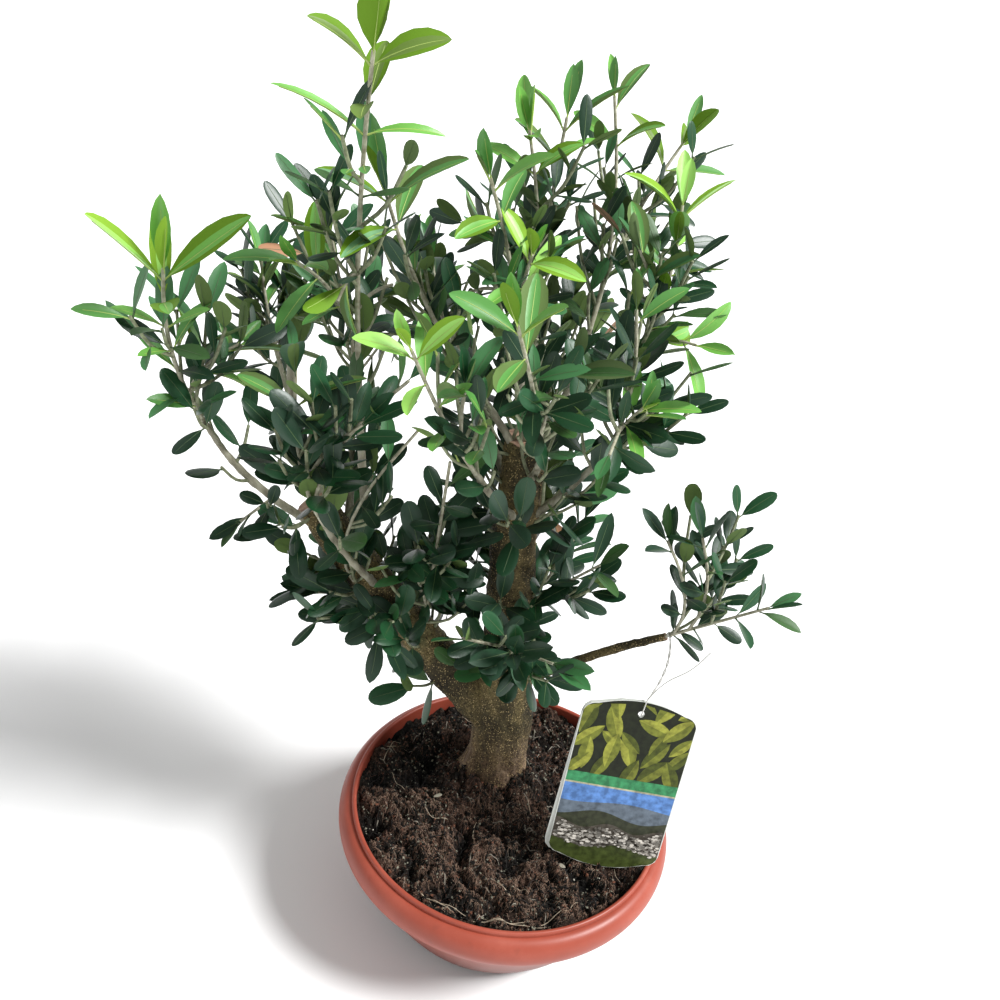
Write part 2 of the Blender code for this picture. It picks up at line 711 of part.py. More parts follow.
# ---------------------------------------------------------------- picture card
def card_turn(extra=0.0):
    yaw = Matrix.Rotation(math.radians(CARD_YAW), 4, "Z")
    lean = Matrix.Rotation(math.radians(90.0 - CARD_LEAN_BACK), 4, "X")
    side = Matrix.Rotation(math.radians(-CARD_LEAN_SIDE + extra), 4, "Z")
    return yaw @ lean @ side


def card_outline():
    """Half-way round the card: rounded corners joined by shallow arches."""
    half_width = 0.5 * CARD_WIDTH
    shoulder = 0.5 * CARD_HEIGHT - CARD_ARCH
    points = []
    for corner, (side, end) in enumerate(((1, 1), (-1, 1), (-1, -1), (1, -1))):
        for step in range(4):
            turn = math.radians(90 * corner + 30 * step)
            points.append((side * (half_width - CARD_CORNER) + CARD_CORNER * math.cos(turn),
                           end * (shoulder - CARD_CORNER) + CARD_CORNER * math.sin(turn)))
        if corner % 2 == 0:
            for share in (0.75, 0.5, 0.25):
                across = mix((-1, 1), share) * side * (half_width - CARD_CORNER)
                rise = CARD_ARCH * (1.0 - (2.0 * share - 1.0) ** 2)
                points.append((across, end * (shoulder + rise)))
    return points


def build_card(name, depth, splay):
    """A flat card with a hole near its top, standing behind the front face by depth."""
    data = bpy.data.curves.new(name, "CURVE")
    data.dimensions = "2D"
    data.fill_mode = "BOTH"
    data.extrude = 0.5 * CARD_THICKNESS
    outline = card_outline()
    hole_height = 0.5 * CARD_HEIGHT - HOLE_DOWN
    hole = [(HOLE_RADIUS * math.cos(math.radians(45 * step)),
             hole_height + HOLE_RADIUS * math.sin(math.radians(45 * step))) for step in range(8)]
    for ring in (outline, hole):
        line = data.splines.new("POLY")
        line.points.add(len(ring) - 1)
        for point, place in zip(line.points, ring):
            point.co = (*place, 0.0, 1.0)
        line.use_cyclic_u = True
    card = add_object(name, data, "card", CARD_WHITE)
    pivot = Matrix.Translation((0.0, hole_height, -depth))
    card.matrix_world = (Matrix.Translation(CARD_CENTRE) @ card_turn() @ pivot
                         @ Matrix.Rotation(math.radians(splay), 4, "Z")
                         @ Matrix.Translation((0.0, -hole_height, 0.0)))
    world = card.matrix_world.copy()
    card = settle(card)
    card.data.transform(world)


def build_tie(stem):
    """A thin cord from the low right shoot's underside to the card's hole."""
    proud = 0.5 * CARD_THICKNESS + GAP + TIE_RADIUS
    hole_height = 0.5 * CARD_HEIGHT - HOLE_DOWN
    hole = CARD_CENTRE + card_turn() @ Vector((0.0, hole_height, proud))
    edge = CARD_CENTRE + card_turn() @ Vector((0.0, hole_height + TIE_OVER_EDGE, 2.0 * proud))
    branch, _ = point_along(stem.path, TIE_ALONG)
    top = branch - UP * (stem.radii[0] + TIE_RADIUS + GAP)
    side = top.lerp(edge, 0.45) + Vector((TIE_SLACK, 0.0, 0.0))
    path = []
    for step in range(8):
        share = step / 7
        path.append(top.lerp(side, share).lerp(side.lerp(edge, share), share))
    path.append(hole)
    tie = settle(tube("label_tie", path, [TIE_RADIUS] * len(path), 6, "cord", CORD_WHITE))
    smooth(tie)


# ---------------------------------------------------------------- assembly
def build():
    clear_scene()
    for name in ("olive_bonsai", "guides"):
        group = bpy.data.collections.new(name)
        bpy.context.scene.collection.children.link(group)
    paths = {"trunk": trunk_path()}
    radii = {"trunk": TRUNK_RADII}
    for name, limb in LIMBS.items():
        start, _ = point_along(paths[limb.carrier], limb.along)
        paths[name] = limb_path(limb, start)
        radii[name] = limb.radii
    build_pot()
    build_soil()
    build_trunk(paths)
    build_limbs(paths, radii)
    plans = {name: plan_mass(name, paths, radii) for name in MASSES}
    stems = {}
    for name, leaders in plans.items():
        stems[name] = [point_along(leader.path, step / 12)[0]
                       for leader in leaders for step in range(13)]
    space = Space(stems, paths, radii)
    for name, leaders in plans.items():
        build_mass(name, leaders, paths, radii, space)
    build_card("label_card", 0.0, 0.0)
    build_card("label_back", CARD_THICKNESS + GAP, -CARD_SPLAY)
    build_tie(plans["foliage_right_low"][0])


build()
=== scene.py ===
"""Looks of the olive bonsai in its bowl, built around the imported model.

Units are metres, +Z is up, -Y is the front. The origin is the middle of the bowl's underside.
"""
import math
import random
from collections import defaultdict, namedtuple

import bpy
from mathutils import Matrix, Vector, kdtree, noise


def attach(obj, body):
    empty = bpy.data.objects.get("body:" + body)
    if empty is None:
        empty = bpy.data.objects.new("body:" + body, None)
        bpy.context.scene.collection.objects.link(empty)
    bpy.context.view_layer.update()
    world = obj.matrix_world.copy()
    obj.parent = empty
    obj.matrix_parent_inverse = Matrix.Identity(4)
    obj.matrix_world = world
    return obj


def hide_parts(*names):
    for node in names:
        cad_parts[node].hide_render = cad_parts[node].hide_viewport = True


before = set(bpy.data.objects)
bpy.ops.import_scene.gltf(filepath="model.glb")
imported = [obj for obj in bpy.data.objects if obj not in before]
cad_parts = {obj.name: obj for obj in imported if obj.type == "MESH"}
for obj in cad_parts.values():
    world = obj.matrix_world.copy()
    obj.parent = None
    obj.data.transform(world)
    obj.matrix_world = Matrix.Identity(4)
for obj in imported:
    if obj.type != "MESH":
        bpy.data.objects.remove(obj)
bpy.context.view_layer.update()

UP = Vector((0.0, 0.0, 1.0))

# ---------------------------------------------------------------- camera and light
CAMERA_PLACE = Vector((-0.041, -0.579, 0.744))
CAMERA_PITCH = 31.25            # degrees down
CAMERA_ROLL = 8.33
CAMERA_LENS = 36.0              # millimetres
SENSOR_WIDTH = 36.0
LIGHTS = (
    # name, direction to the light, its apparent size in degrees and its strength
    ("key", (4.3, -0.8, 4.9), 20.0, 5.6), ("fill", (-2.4, -2.8, 2.8), 60.0, 0.22),
)
SKY_STRENGTH = 0.52
FLOOR_SIZE = 120.0
FLOOR_COLOUR = (0.88, 0.88, 0.88)

# ---------------------------------------------------------------- sizes of the solids
POT_HEIGHT = 0.110
POT_WALL = 0.003
LIP_INNER = 0.1225
LIP_OUTER = 0.1262
GROOVE_DEPTH = 0.0022           # below the lip's bead
BAND_TOP = 0.0040
BAND_WIDTH = 0.0095
BAND_HEIGHT = 0.0265
BOWL_FOOT_RADIUS = 0.082
BOWL_CURVE = 0.75
BOWL_COLUMNS = 200
SOIL_TOP = 0.102
SOIL_FLAT = 0.085
SOIL_EDGE_DROP = 0.002

TRUNK_FOOT = Vector((-0.012, 0.035, SOIL_TOP))
TRUNK_HEIGHT = 0.322
TRUNK_LEAN = -0.017
TRUNK_RADII = (0.0235, 0.0145)
FLARE = 0.0042
FLARE_HEIGHT = 0.012
FORK_SWELL = 0.0040
FORK_HEIGHT = 0.079
FORK_SPREAD = 0.035
TRUNK_STEPS = 11
# root toes: heading and reach, then where they start, their height and how narrow they are
ROOT_TOES = ((192, 0.038), (248, 0.029), (322, 0.030), (38, 0.031), (112, 0.032))
TOE_START = 0.026
TOE_HEIGHT = 0.013
TOE_SHARPNESS = 9

Limb = namedtuple("Limb", "carrier along heading rise length radii")
LIMBS = {
    "limb_left": Limb("trunk", 0.185, (182, 186), (44, 56), 0.250, (0.0180, 0.0135)),
    "branch_right_low": Limb("trunk", 0.277, (4, -20), (42, 36), 0.147, (0.0044, 0.0031)),
    "stub_left": Limb("limb_left", 0.985, (165, 190), (70, 89), 0.118, (0.0036, 0.0026)),
    "bough_far_left": Limb("limb_left", 0.87, (196, 222), (30, 66), 0.142, (0.0042, 0.0031)),
    "bough_left_mid": Limb("limb_left", 0.82, (98, 110), (66, 86), 0.126, (0.0042, 0.0031)),
    "bough_left_front": Limb("limb_left", 0.66, (268, 225), (42, 60), 0.120, (0.0038, 0.0028)),
    "bough_left_back": Limb("limb_left", 0.92, (128, 150), (48, 66), 0.120, (0.0040, 0.0029)),
    "bough_leader": Limb("limb_left", 0.71, (238, 262), (82, 78), 0.190, (0.0046, 0.0032)),
    "bough_front_left": Limb("trunk", 0.796, (258, 232), (34, 52), 0.105, (0.0040, 0.0030)),
    "bough_front": Limb("trunk", 0.878, (292, 262), (42, 48), 0.088, (0.0040, 0.0029)),
    "bough_centre_left": Limb("trunk", 0.929, (205, 195), (62, 50), 0.075, (0.0040, 0.0030)),
    "bough_centre": Limb("trunk", 0.985, (250, 215), (66, 80), 0.075, (0.0040, 0.0029)),
    "bough_back": Limb("trunk", 0.949, (88, 110), (52, 78), 0.090, (0.0042, 0.0031)),
    "bough_right_back": Limb("trunk", 0.868, (55, 68), (52, 62), 0.125, (0.0042, 0.0031)),
    "bough_right": Limb("trunk", 0.964, (14, 22), (38, 56), 0.085, (0.0040, 0.0029)),
    "bough_right_front": Limb("trunk", 0.776, (338, 318), (48, 62), 0.095, (0.0040, 0.0029)),
    "bough_back_low": Limb("trunk", 0.694, (78, 92), (38, 56), 0.120, (0.0040, 0.0029)),
    "bough_back_left": Limb("trunk", 0.827, (132, 142), (40, 56), 0.120, (0.0040, 0.0029)),
}
LIMB_STEPS = 5

# each leading shoot's tip, the stem's own tip first, with the colour of its newest leaves
Mass = namedtuple("Mass", "carrier along radius tips tints")
MASSES = {
    "foliage_far_left": Mass("bough_far_left", 1.0, 0.0029, (
        (-0.241, -0.062, 0.545), (-0.222, 0.010, 0.474)), ("lime", "fresh")),
    "foliage_left_side": Mass("bough_far_left", 0.42, 0.0020, (
        (-0.214, -0.017, 0.356),), ("deep",)),
    "foliage_left_mid": Mass("bough_left_mid", 1.0, 0.0026, (
        (-0.178, -0.020, 0.545), (-0.172, 0.045, 0.543)), ("fresh", "mid")),
    "foliage_left_front": Mass("bough_left_front", 1.0, 0.0026, (
        (-0.170, -0.050, 0.496), (-0.104, -0.045, 0.492), (-0.128, -0.055, 0.464)),
        ("mid", "deep", "deep")),
    "foliage_left_back": Mass("bough_left_back", 1.0, 0.0027, (
        (-0.230, 0.092, 0.499), (-0.202, 0.120, 0.474), (-0.244, 0.068, 0.452)),
        ("mid", "mid", "deep")),
    "foliage_leader": Mass("bough_leader", 1.0, 0.0030, (
        (-0.130, -0.076, 0.672), (-0.126, 0.012, 0.528), (-0.151, -0.030, 0.529)),
        ("olive", "mid", "fresh")),
    "foliage_front_left": Mass("bough_front_left", 1.0, 0.0027, (
        (-0.100, -0.082, 0.528), (-0.069, -0.070, 0.506)), ("lime", "mid")),
    "foliage_front": Mass("bough_front", 1.0, 0.0026, (
        (-0.045, -0.100, 0.557), (-0.012, -0.064, 0.525)), ("fresh", "mid")),
    "foliage_centre_left": Mass("bough_centre_left", 1.0, 0.0029, (
        (-0.130, -0.017, 0.593), (-0.105, 0.034, 0.538)), ("pale", "mid")),
    "foliage_centre": Mass("bough_centre", 1.0, 0.0027, (
        (-0.072, -0.015, 0.607), (-0.043, -0.012, 0.567), (-0.087, 0.040, 0.514)),
        ("fresh", "lime", "deep")),
    "foliage_back": Mass("bough_back", 1.0, 0.0029, (
        (-0.034, 0.100, 0.624), (-0.056, 0.068, 0.619), (-0.081, 0.122, 0.534)),
        ("fresh", "fresh", "mid")),
    "foliage_right_back": Mass("bough_right_back", 1.0, 0.0030, (
        (-0.005, 0.125, 0.637), (0.051, 0.155, 0.612), (0.055, 0.120, 0.535)),
        ("fresh", "olive", "mid")),
    "foliage_right": Mass("bough_right", 1.0, 0.0027, (
        (0.049, 0.086, 0.583), (0.072, 0.045, 0.505), (0.023, 0.045, 0.562)),
        ("lime", "fresh", "mid")),
    "foliage_right_front": Mass("bough_right_front", 1.0, 0.0026, (
        (0.023, -0.006, 0.541), (0.036, -0.030, 0.489), (0.019, -0.056, 0.468)),
        ("mid", "fresh", "deep")),
    "foliage_back_low": Mass("bough_back_low", 1.0, 0.0027, (
        (-0.007, 0.166, 0.489), (0.046, 0.148, 0.433), (-0.043, 0.182, 0.431)),
        ("mid", "deep", "deep")),
    "foliage_back_left": Mass("bough_back_left", 1.0, 0.0027, (
        (-0.130, 0.142, 0.498), (-0.097, 0.170, 0.449), (-0.160, 0.130, 0.417)),
        ("fresh", "mid", "deep")),
    "foliage_right_low": Mass("branch_right_low", 0.93, 0.0024, (
        (0.156, -0.005, 0.340), (0.079, 0.012, 0.372), (0.102, 0.012, 0.379)),
        ("deep", "deep", "deep")),
    # the low masses' dark tints partly paint the shade under the crown
    "foliage_low_left": Mass("limb_left", 0.62, 0.0020, (
        (-0.164, 0.008, 0.286), (-0.108, -0.014, 0.269), (-0.098, -0.018, 0.447)),
        ("dark", "dark", "deep")),
    "foliage_fork": Mass("limb_left", 0.42, 0.0024, (
        (-0.076, -0.024, 0.430), (-0.100, -0.012, 0.341), (-0.063, 0.004, 0.300)),
        ("deep", "deep", "dark")),
    "foliage_low_front": Mass("trunk", 0.43, 0.0022, (
        (-0.017, -0.034, 0.291), (0.014, -0.022, 0.276), (-0.053, -0.030, 0.294)),
        ("dark", "deep", "dark")),
    "foliage_low_right": Mass("trunk", 0.531, 0.0022, (
        (0.035, 0.004, 0.349), (0.024, 0.060, 0.351)), ("deep", "deep")),
    "foliage_low_back": Mass("trunk", 0.47, 0.0022, (
        (-0.029, 0.110, 0.328), (0.013, 0.098, 0.295), (-0.077, 0.084, 0.312)),
        ("deep", "deep", "deep")),
}

# ---------------------------------------------------------------- growth rule
SHOOT_BEND = 0.45               # how far a shoot keeps its first direction
STEM_STEPS = 5
FORK_STEPS = 4
SIDE_STEPS = 2
FORK_FIRST = 0.20
FORK_STEP = 0.14
SIDE_FIRST = 0.12
SIDE_LAST = 0.62
SIDE_STEP = 0.038
SIDE_LENGTH = (0.036, 0.062)
SIDE_SPREAD = (40, 60)
SIDE_UP = 0.7                   # how strongly side shoots turn upward
SPUR_UP = 0.3
GOLDEN_TURN = 137.5
SHOOT_TIP_RADIUS = 0.0017
SIDE_RADIUS = 0.0021

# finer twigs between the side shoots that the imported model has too
FINE_SPAN = (0.06, 0.66)
FINE_STEP = 0.028
FINE_LENGTH = (0.022, 0.044)
SPARSE = ("foliage_right_low",)         # masses without finer twigs
BOUGH_SPAN = (0.30, 1.0)        # leafy shoots along a bough itself
BOUGH_STEP = 0.017
BOUGH_LENGTH = (0.026, 0.048)
TWIG_SHARE = 0.62               # a living twig's radius as a share of the solid's
BOUGH_SHARES = (0.85, 0.62)     # the same for a bough's two ends
TWIG_SIDES = 6
SPACE_SAMPLES = 24              # points along a shoot, and along each step of a limb
LIMB_SAMPLES = 8
NEAREST_LIMB_POINTS = 6

# short shoots on the thick wood: the limb, the stretch and their count
SPURS = (("limb_left", (0.16, 0.40), 9), ("limb_left", (0.40, 0.99), 30),
         ("trunk", (0.34, 0.58), 9), ("trunk", (0.70, 0.99), 22))
SPUR_LENGTH = (0.020, 0.042)
SPUR_SPREAD = (50, 80)

# leaves of the living plant's size
LEAF_STEP = 0.018               # between pairs along a shoot
TIP_STEP = 0.0055               # between a leading shoot's bud pair and the next
LEADING_SPREADS = ((6, 16), (36, 54), (46, 62), (46, 66))      # the newest pair first
OTHER_SPREADS = ((24, 40), (36, 54), (46, 66))
LEAF_THICKNESS = 0.0005
PETIOLE = 0.0035
RIB_RADIUS = 0.00026
RIB_PROUD = 0.00014
LIMB_MARGIN = 0.0012
LIGHTWARD = Vector((-0.10, -0.50, 0.85)).normalized()   # upper sides turn this way
LIGHT_TURN = 0.55
TWIST = 26                      # degrees that a blade may lean about its length
CROWN_TOP = (0.40, 0.60)        # heights between which leaves turn from broad to narrow
CROWN_SHARES = ((1.05, 0.88), (0.98, 0.74))     # length and breadth at those heights
SIZE_SHARES = {"foliage_left_side": 0.70, "foliage_right_low": 0.84}
BLADE_COLUMNS = (-1.0, -0.5, 0.0, 0.5, 1.0)
# where a leaf has to be clear: shares of its length and, to the side, of its width
LEAF_PROBES = ((1.0, 0.0), (0.55, 0.45), (0.55, -0.45), (0.2, 0.0))

# a blade's outline as shares of length and width, and its cross-section's lift
# then its ranges of length, of breadth as a share of it, and of droop
Form = namedtuple("Form", "rows lift length broad droop")
BLUNT = ((0.0, 0.05), (0.08, 0.30), (0.20, 0.64), (0.38, 0.90), (0.58, 1.0), (0.76, 0.93),
         (0.90, 0.66), (0.97, 0.36), (1.0, 0.0))
POINTED = ((0.0, 0.05), (0.09, 0.27), (0.23, 0.62), (0.42, 0.93), (0.60, 1.0), (0.78, 0.82),
           (0.92, 0.44), (1.0, 0.0))
ROUNDED = ((0.0, 0.05), (0.08, 0.28), (0.21, 0.63), (0.40, 0.93), (0.58, 1.0), (0.76, 0.88),
           (0.90, 0.56), (0.97, 0.27), (1.0, 0.0))
FORMS = {
    "old": Form(BLUNT, (-0.03, 0.045, 0.0, 0.045, -0.03), (0.024, 0.034), (0.38, 0.49), (0.0, 0.14)),
    "grown": Form(POINTED, (0.12, 0.05, 0.0, 0.05, 0.12), (0.027, 0.038), (0.29, 0.38), (0.0, 0.20)),
    "young": Form(ROUNDED, (0.20, 0.08, 0.0, 0.08, 0.20), (0.033, 0.046), (0.27, 0.38), (0.08, 0.36)),
    "bud": Form(POINTED, (0.22, 0.10, 0.0, 0.10, 0.22), (0.021, 0.031), (0.27, 0.35), (-0.05, 0.05)),
}

# a leaf's colours above and below, its rib and how rough its upper side is
Tint = namedtuple("Tint", "upper lower rib roughness")
OLD_UNDER = (0.104, 0.168, 0.048)
DULL_UNDER = (0.078, 0.122, 0.044)
YOUNG_UNDER = (0.112, 0.225, 0.014)
TINTS = {
    # the dark and dusk tints are partly the old leaves' own deep green and partly painted shade:
    # near-black copies dealt to the low and inner foliage
    "dark": Tint((0.006, 0.032, 0.012), OLD_UNDER, "rib_old", 0.40),
    "dusk": Tint((0.016, 0.044, 0.024), DULL_UNDER, "rib_old", 0.37),
    "deep": Tint((0.011, 0.062, 0.021), OLD_UNDER, "rib_old", 0.41),
    "moss": Tint((0.034, 0.098, 0.022), DULL_UNDER, "rib_old", 0.50),
    "mid": Tint((0.042, 0.158, 0.050), OLD_UNDER, "rib_old", 0.43),
    "grass": Tint((0.080, 0.260, 0.048), OLD_UNDER, "rib_young", 0.45),
    "olive": Tint((0.110, 0.190, 0.026), YOUNG_UNDER, "rib_young", 0.50),
    "fresh": Tint((0.130, 0.365, 0.050), YOUNG_UNDER, "rib_young", 0.44),
    "pale": Tint((0.150, 0.335, 0.150), YOUNG_UNDER, "rib_young", 0.44),
    "lime": Tint((0.290, 0.590, 0.105), (0.20, 0.37, 0.03), "rib_young", 0.48),
    "dead": Tint((0.340, 0.170, 0.090), (0.26, 0.15, 0.09), "rib_old", 0.60),
}
RIB_COLOURS = {"rib_old": (0.060, 0.110, 0.040), "rib_young": (0.34, 0.46, 0.11)}
# pale young leaves shine more than this, and the felted undersides less
LEAF_SHINE = 0.34
UNDERSIDE_SHINE = 0.16
UNDERSIDE_ROUGHNESS = 0.65
# what the leaves of one shoot are dealt, and what the next older pairs turn to
DEALT = {
    "dark": ("dark", "dark", "dusk", "deep"),
    "deep": ("deep", "dark", "deep", "dusk", "moss", "mid"),
    "mid": ("mid", "mid", "grass", "grass", "deep", "moss", "dark"),
    "olive": ("olive", "olive", "grass"),
    "fresh": ("fresh", "fresh", "grass"),
    "pale": ("pale", "grass"),
    "lime": ("lime", "lime", "fresh"),
}
OLDER = {"dark": "dark", "deep": "dark", "mid": "deep", "olive": "mid", "fresh": "mid",
         "pale": "mid", "lime": "fresh"}
DEAD_SHARE = 0.003

# the newest leaves of some first tips: shares of a leaf's sizes, and the pair's heading
Vigour = namedtuple("Vigour", "length broad droop spread bud heading",
                    defaults=(1.0, 1.0, 1.0, 1.0, 1.0, None))
VIGOUR = {
    "foliage_far_left": Vigour(1.45, 0.76, 0.25, 0.82, 1.15, 28.0),
    "foliage_leader": Vigour(0.90, 1.2, 1.3, 1.0, 1.6, 10.0),
    "foliage_centre_left": Vigour(1.20, 0.9, 1.2, 1.1, 1.2, 175.0),
    "foliage_front_left": Vigour(0.92, 1.0, 1.0, 1.0, 0.9, 186.0),
    "foliage_front": Vigour(1.05, 0.95, 0.8, 1.0, 1.2, 172.0),
    "foliage_left_mid": Vigour(1.10, 0.80, 0.9, 0.9, 1.1, 176.0),
    "foliage_back": Vigour(1.10, 0.90, 1.0, 1.0, 1.1, 150.0),
    "foliage_right": Vigour(1.0, 1.0, 1.0, 1.0, 1.2, 20.0),
}
PLAIN_VIGOUR = Vigour()
# the narrow pair that arches out further down a first tip: its place in order and its shares
ARCHED = {"foliage_leader": (3, Vigour(1.15, 0.52, 2.4, 1.05, 1.0, 10.0))}

# ---------------------------------------------------------------- picture card
CARD_WIDTH = 0.087
CARD_HEIGHT = 0.150
CARD_THICKNESS = 0.0009
CARD_CORNER = 0.010
CARD_ARCH = 0.007
CARD_CENTRE = Vector((0.0812, -0.0351, 0.1782))
CARD_YAW = 3.0
CARD_LEAN_BACK = 12.0
CARD_LEAN_SIDE = 4.0
HOLE_RADIUS = 0.0025
HOLE_DOWN = 0.011
TIE_ALONG = 0.16
PRINT_RAISE = 0.00012


# ---------------------------------------------------------------- meshes
class Pile:
    """Vertices and faces of one joined piece."""

    def __init__(self):
        self.verts = []
        self.faces = []

    def rows(self, rows, closed=False, flip=False):
        """Stitches rows of points; closed rows go round."""
        first = len(self.verts)
        width = len(rows[0])
        for row in rows:
            self.verts.extend(row)
        for up in range(len(rows) - 1):
            for side in range(width if closed else width - 1):
                other = (side + 1) % width
                low = first + up * width
                quad = (low + side, low + other, low + width + other, low + width + side)
                self.faces.append(quad[::-1] if flip else quad)

    def fan(self, ring, centre, flip=False):
        """Closes a ring of points with triangles to its centre."""
        first = len(self.verts)
        self.verts.extend(ring)
        self.verts.append(centre)
        for side in range(len(ring)):
            face = (first + side, first + (side + 1) % len(ring), first + len(ring))
            self.faces.append(face[::-1] if flip else face)

    def piece(self, name, finish, slot, smooth=True):
        """The pile as an object that rides with the part."""
        mesh = bpy.data.meshes.new(name)
        mesh.from_pydata([tuple(vert) for vert in self.verts], [], self.faces)
        mesh.validate()
        if smooth:
            mesh.shade_smooth()
        mesh.materials.append(finish)
        item = bpy.data.objects.new(name, mesh)
        bpy.context.scene.collection.objects.link(item)
        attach(item, "root")
        return item


def direction(heading, rise):
    heading = math.radians(heading)
    rise = math.radians(rise)
    flat = math.cos(rise)
    return Vector((flat * math.cos(heading), flat * math.sin(heading), math.sin(rise)))


def mix(pair, share):
    return pair[0] + (pair[1] - pair[0]) * share


def even_shares(steps):
    """Even shares from 0 to 1."""
    return [step / steps for step in range(steps + 1)]


def circle(radius, share):
    """The point of a level circle at a share of a full turn."""
    turn = 2.0 * math.pi * share
    return radius * math.cos(turn), radius * math.sin(turn)


def around(side, other, share):
    """The same between two crossing directions."""
    turn = 2.0 * math.pi * share
    return side * math.cos(turn) + other * math.sin(turn)


def point_along(path, share):
    """The point and the direction at a share of a path's steps."""
    place = min(max(share, 0.0), 1.0) * (len(path) - 1)
    index = min(int(place), len(path) - 2)
    step = path[index + 1] - path[index]
    return path[index] + step * (place - index), step.normalized()


def smooth_path(path, parts):
    """A rounder path through the same points."""
    points = [2.0 * path[0] - path[1]] + list(path) + [2.0 * path[-1] - path[-2]]
    made = []
    for index in range(1, len(points) - 2):
        before, start, end, after = points[index - 1:index + 3]
        for part in range(parts):
            t = part / parts
            made.append(0.5 * (2.0 * start + (end - before) * t
                               + (2.0 * before - 5.0 * start + 4.0 * end - after) * t ** 2
                               + (3.0 * start - before - 3.0 * end + after) * t ** 3))
    made.append(path[-1].copy())
    return made


def frames_along(path):
    """A tangent and two crossing directions at each point, without twist."""
    tangent = (path[1] - path[0]).normalized()
    side = tangent.cross(Vector((0.0, 1.0, 0.0)))
    if side.length < 0.1:
        side = tangent.cross(UP)
    side.normalize()
    frames = []
    for index in range(len(path)):
        low = path[max(index - 1, 0)]
        high = path[min(index + 1, len(path) - 1)]
        tangent = (high - low).normalized()
        side = (side - tangent * side.dot(tangent)).normalized()
        frames.append((tangent, side, tangent.cross(side)))
    return frames


def tube_rows(path, sizes, sides):
    """Rings of points round a path."""
    return [[place + around(side, other, step / sides) * size for step in range(sides)]
            for place, size, (_, side, other) in zip(path, sizes, frames_along(path))]


# ---------------------------------------------------------------- materials
def shader_of(made):
    return made.node_tree.nodes["Principled BSDF"]


def new_material(name, colour, roughness, **sockets):
    made = bpy.data.materials.new(name)
    made.use_nodes = True
    shader = shader_of(made)
    shader.inputs["Base Color"].default_value = (*colour, 1.0)
    shader.inputs["Roughness"].default_value = roughness
    for socket, value in sockets.items():
        shader.inputs[socket.replace("_", " ")].default_value = value
    return made


def node(made, kind, **settings):
    added = made.node_tree.nodes.new(kind)
    for name, value in settings.items():
        if name in added.inputs:
            added.inputs[name].default_value = value
        else:
            setattr(added, name, value)
    return added


def link(made, start, end):
    made.node_tree.links.new(start, end)


def texture(made, kind, scale, stretch=(1.0, 1.0, 1.0), **settings):
    """A pattern in the part's own frame."""
    coordinates = node(made, "ShaderNodeTexCoord")
    mapping = node(made, "ShaderNodeMapping", Scale=stretch)
    link(made, coordinates.outputs["Object"], mapping.inputs["Vector"])
    pattern = node(made, kind, Scale=scale, **settings)
    link(made, mapping.outputs["Vector"], pattern.inputs["Vector"])
    return pattern


def cloud(made, scale, detail, roughness=0.5, stretch=(1.0, 1.0, 1.0)):
    """The value of a soft irregular pattern."""
    return texture(made, "ShaderNodeTexNoise", scale, stretch, Detail=detail,
                   Roughness=roughness).outputs["Fac"]


def dots(made, scale, stops, stretch=(1.0, 1.0, 1.0)):
    """Small round flecks, from their middles outward."""
    cells = texture(made, "ShaderNodeTexVoronoi", scale, stretch, feature="F1")
    return ramp(made, cells.outputs["Distance"], stops)


def ramp(made, source, stops):
    """Colours or greys at places along a pattern's value."""
    blend = node(made, "ShaderNodeValToRGB")
    elements = blend.color_ramp.elements
    while len(elements) < len(stops):
        elements.new(0.5)
    for element, (place, colour) in zip(elements, stops):
        element.position = place
        element.color = (*colour, 1.0) if isinstance(colour, tuple) else (colour,) * 3 + (1.0,)
    link(made, source, blend.inputs["Fac"])
    return blend.outputs["Color"]


def blend_colours(made, share, first, second, mode="MIX"):
    """Mixes two colours, each a socket or a plain colour."""
    mixer = node(made, "ShaderNodeMix", data_type="RGBA", blend_type=mode)
    for socket, value in ((mixer.inputs[0], share), (mixer.inputs[6], first),
                          (mixer.inputs[7], second)):
        if isinstance(value, bpy.types.NodeSocket):
            link(made, value, socket)
        elif isinstance(value, tuple):
            socket.default_value = (*value, 1.0)
        else:
            socket.default_value = value
    return mixer.outputs[2]


def multiply(made, first, second):
    return blend_colours(made, 1.0, first, second, "MULTIPLY")


def paint(made, colour, roughness=None):
    shader = shader_of(made)
    link(made, colour, shader.inputs["Base Color"])
    if roughness:
        link(made, roughness, shader.inputs["Roughness"])


def bump(made, height, distance, strength=1.0):
    """Adds relief, over any relief that is there already."""
    shader = shader_of(made)
    relief = node(made, "ShaderNodeBump", Distance=distance, Strength=strength)
    link(made, height, relief.inputs["Height"])
    if shader.inputs["Normal"].links:
        link(made, shader.inputs["Normal"].links[0].from_socket, relief.inputs["Normal"])
    link(made, relief.outputs["Normal"], shader.inputs["Normal"])


def height_share(made, low, high):
    """0 at one height of the part and 1 at another."""
    coordinates = node(made, "ShaderNodeTexCoord")
    parts = node(made, "ShaderNodeSeparateXYZ")
    link(made, coordinates.outputs["Object"], parts.inputs["Vector"])
    spread = node(made, "ShaderNodeMapRange", **{"From Min": low, "From Max": high})
    link(made, parts.outputs["Z"], spread.inputs["Value"])
    return spread.outputs["Result"]


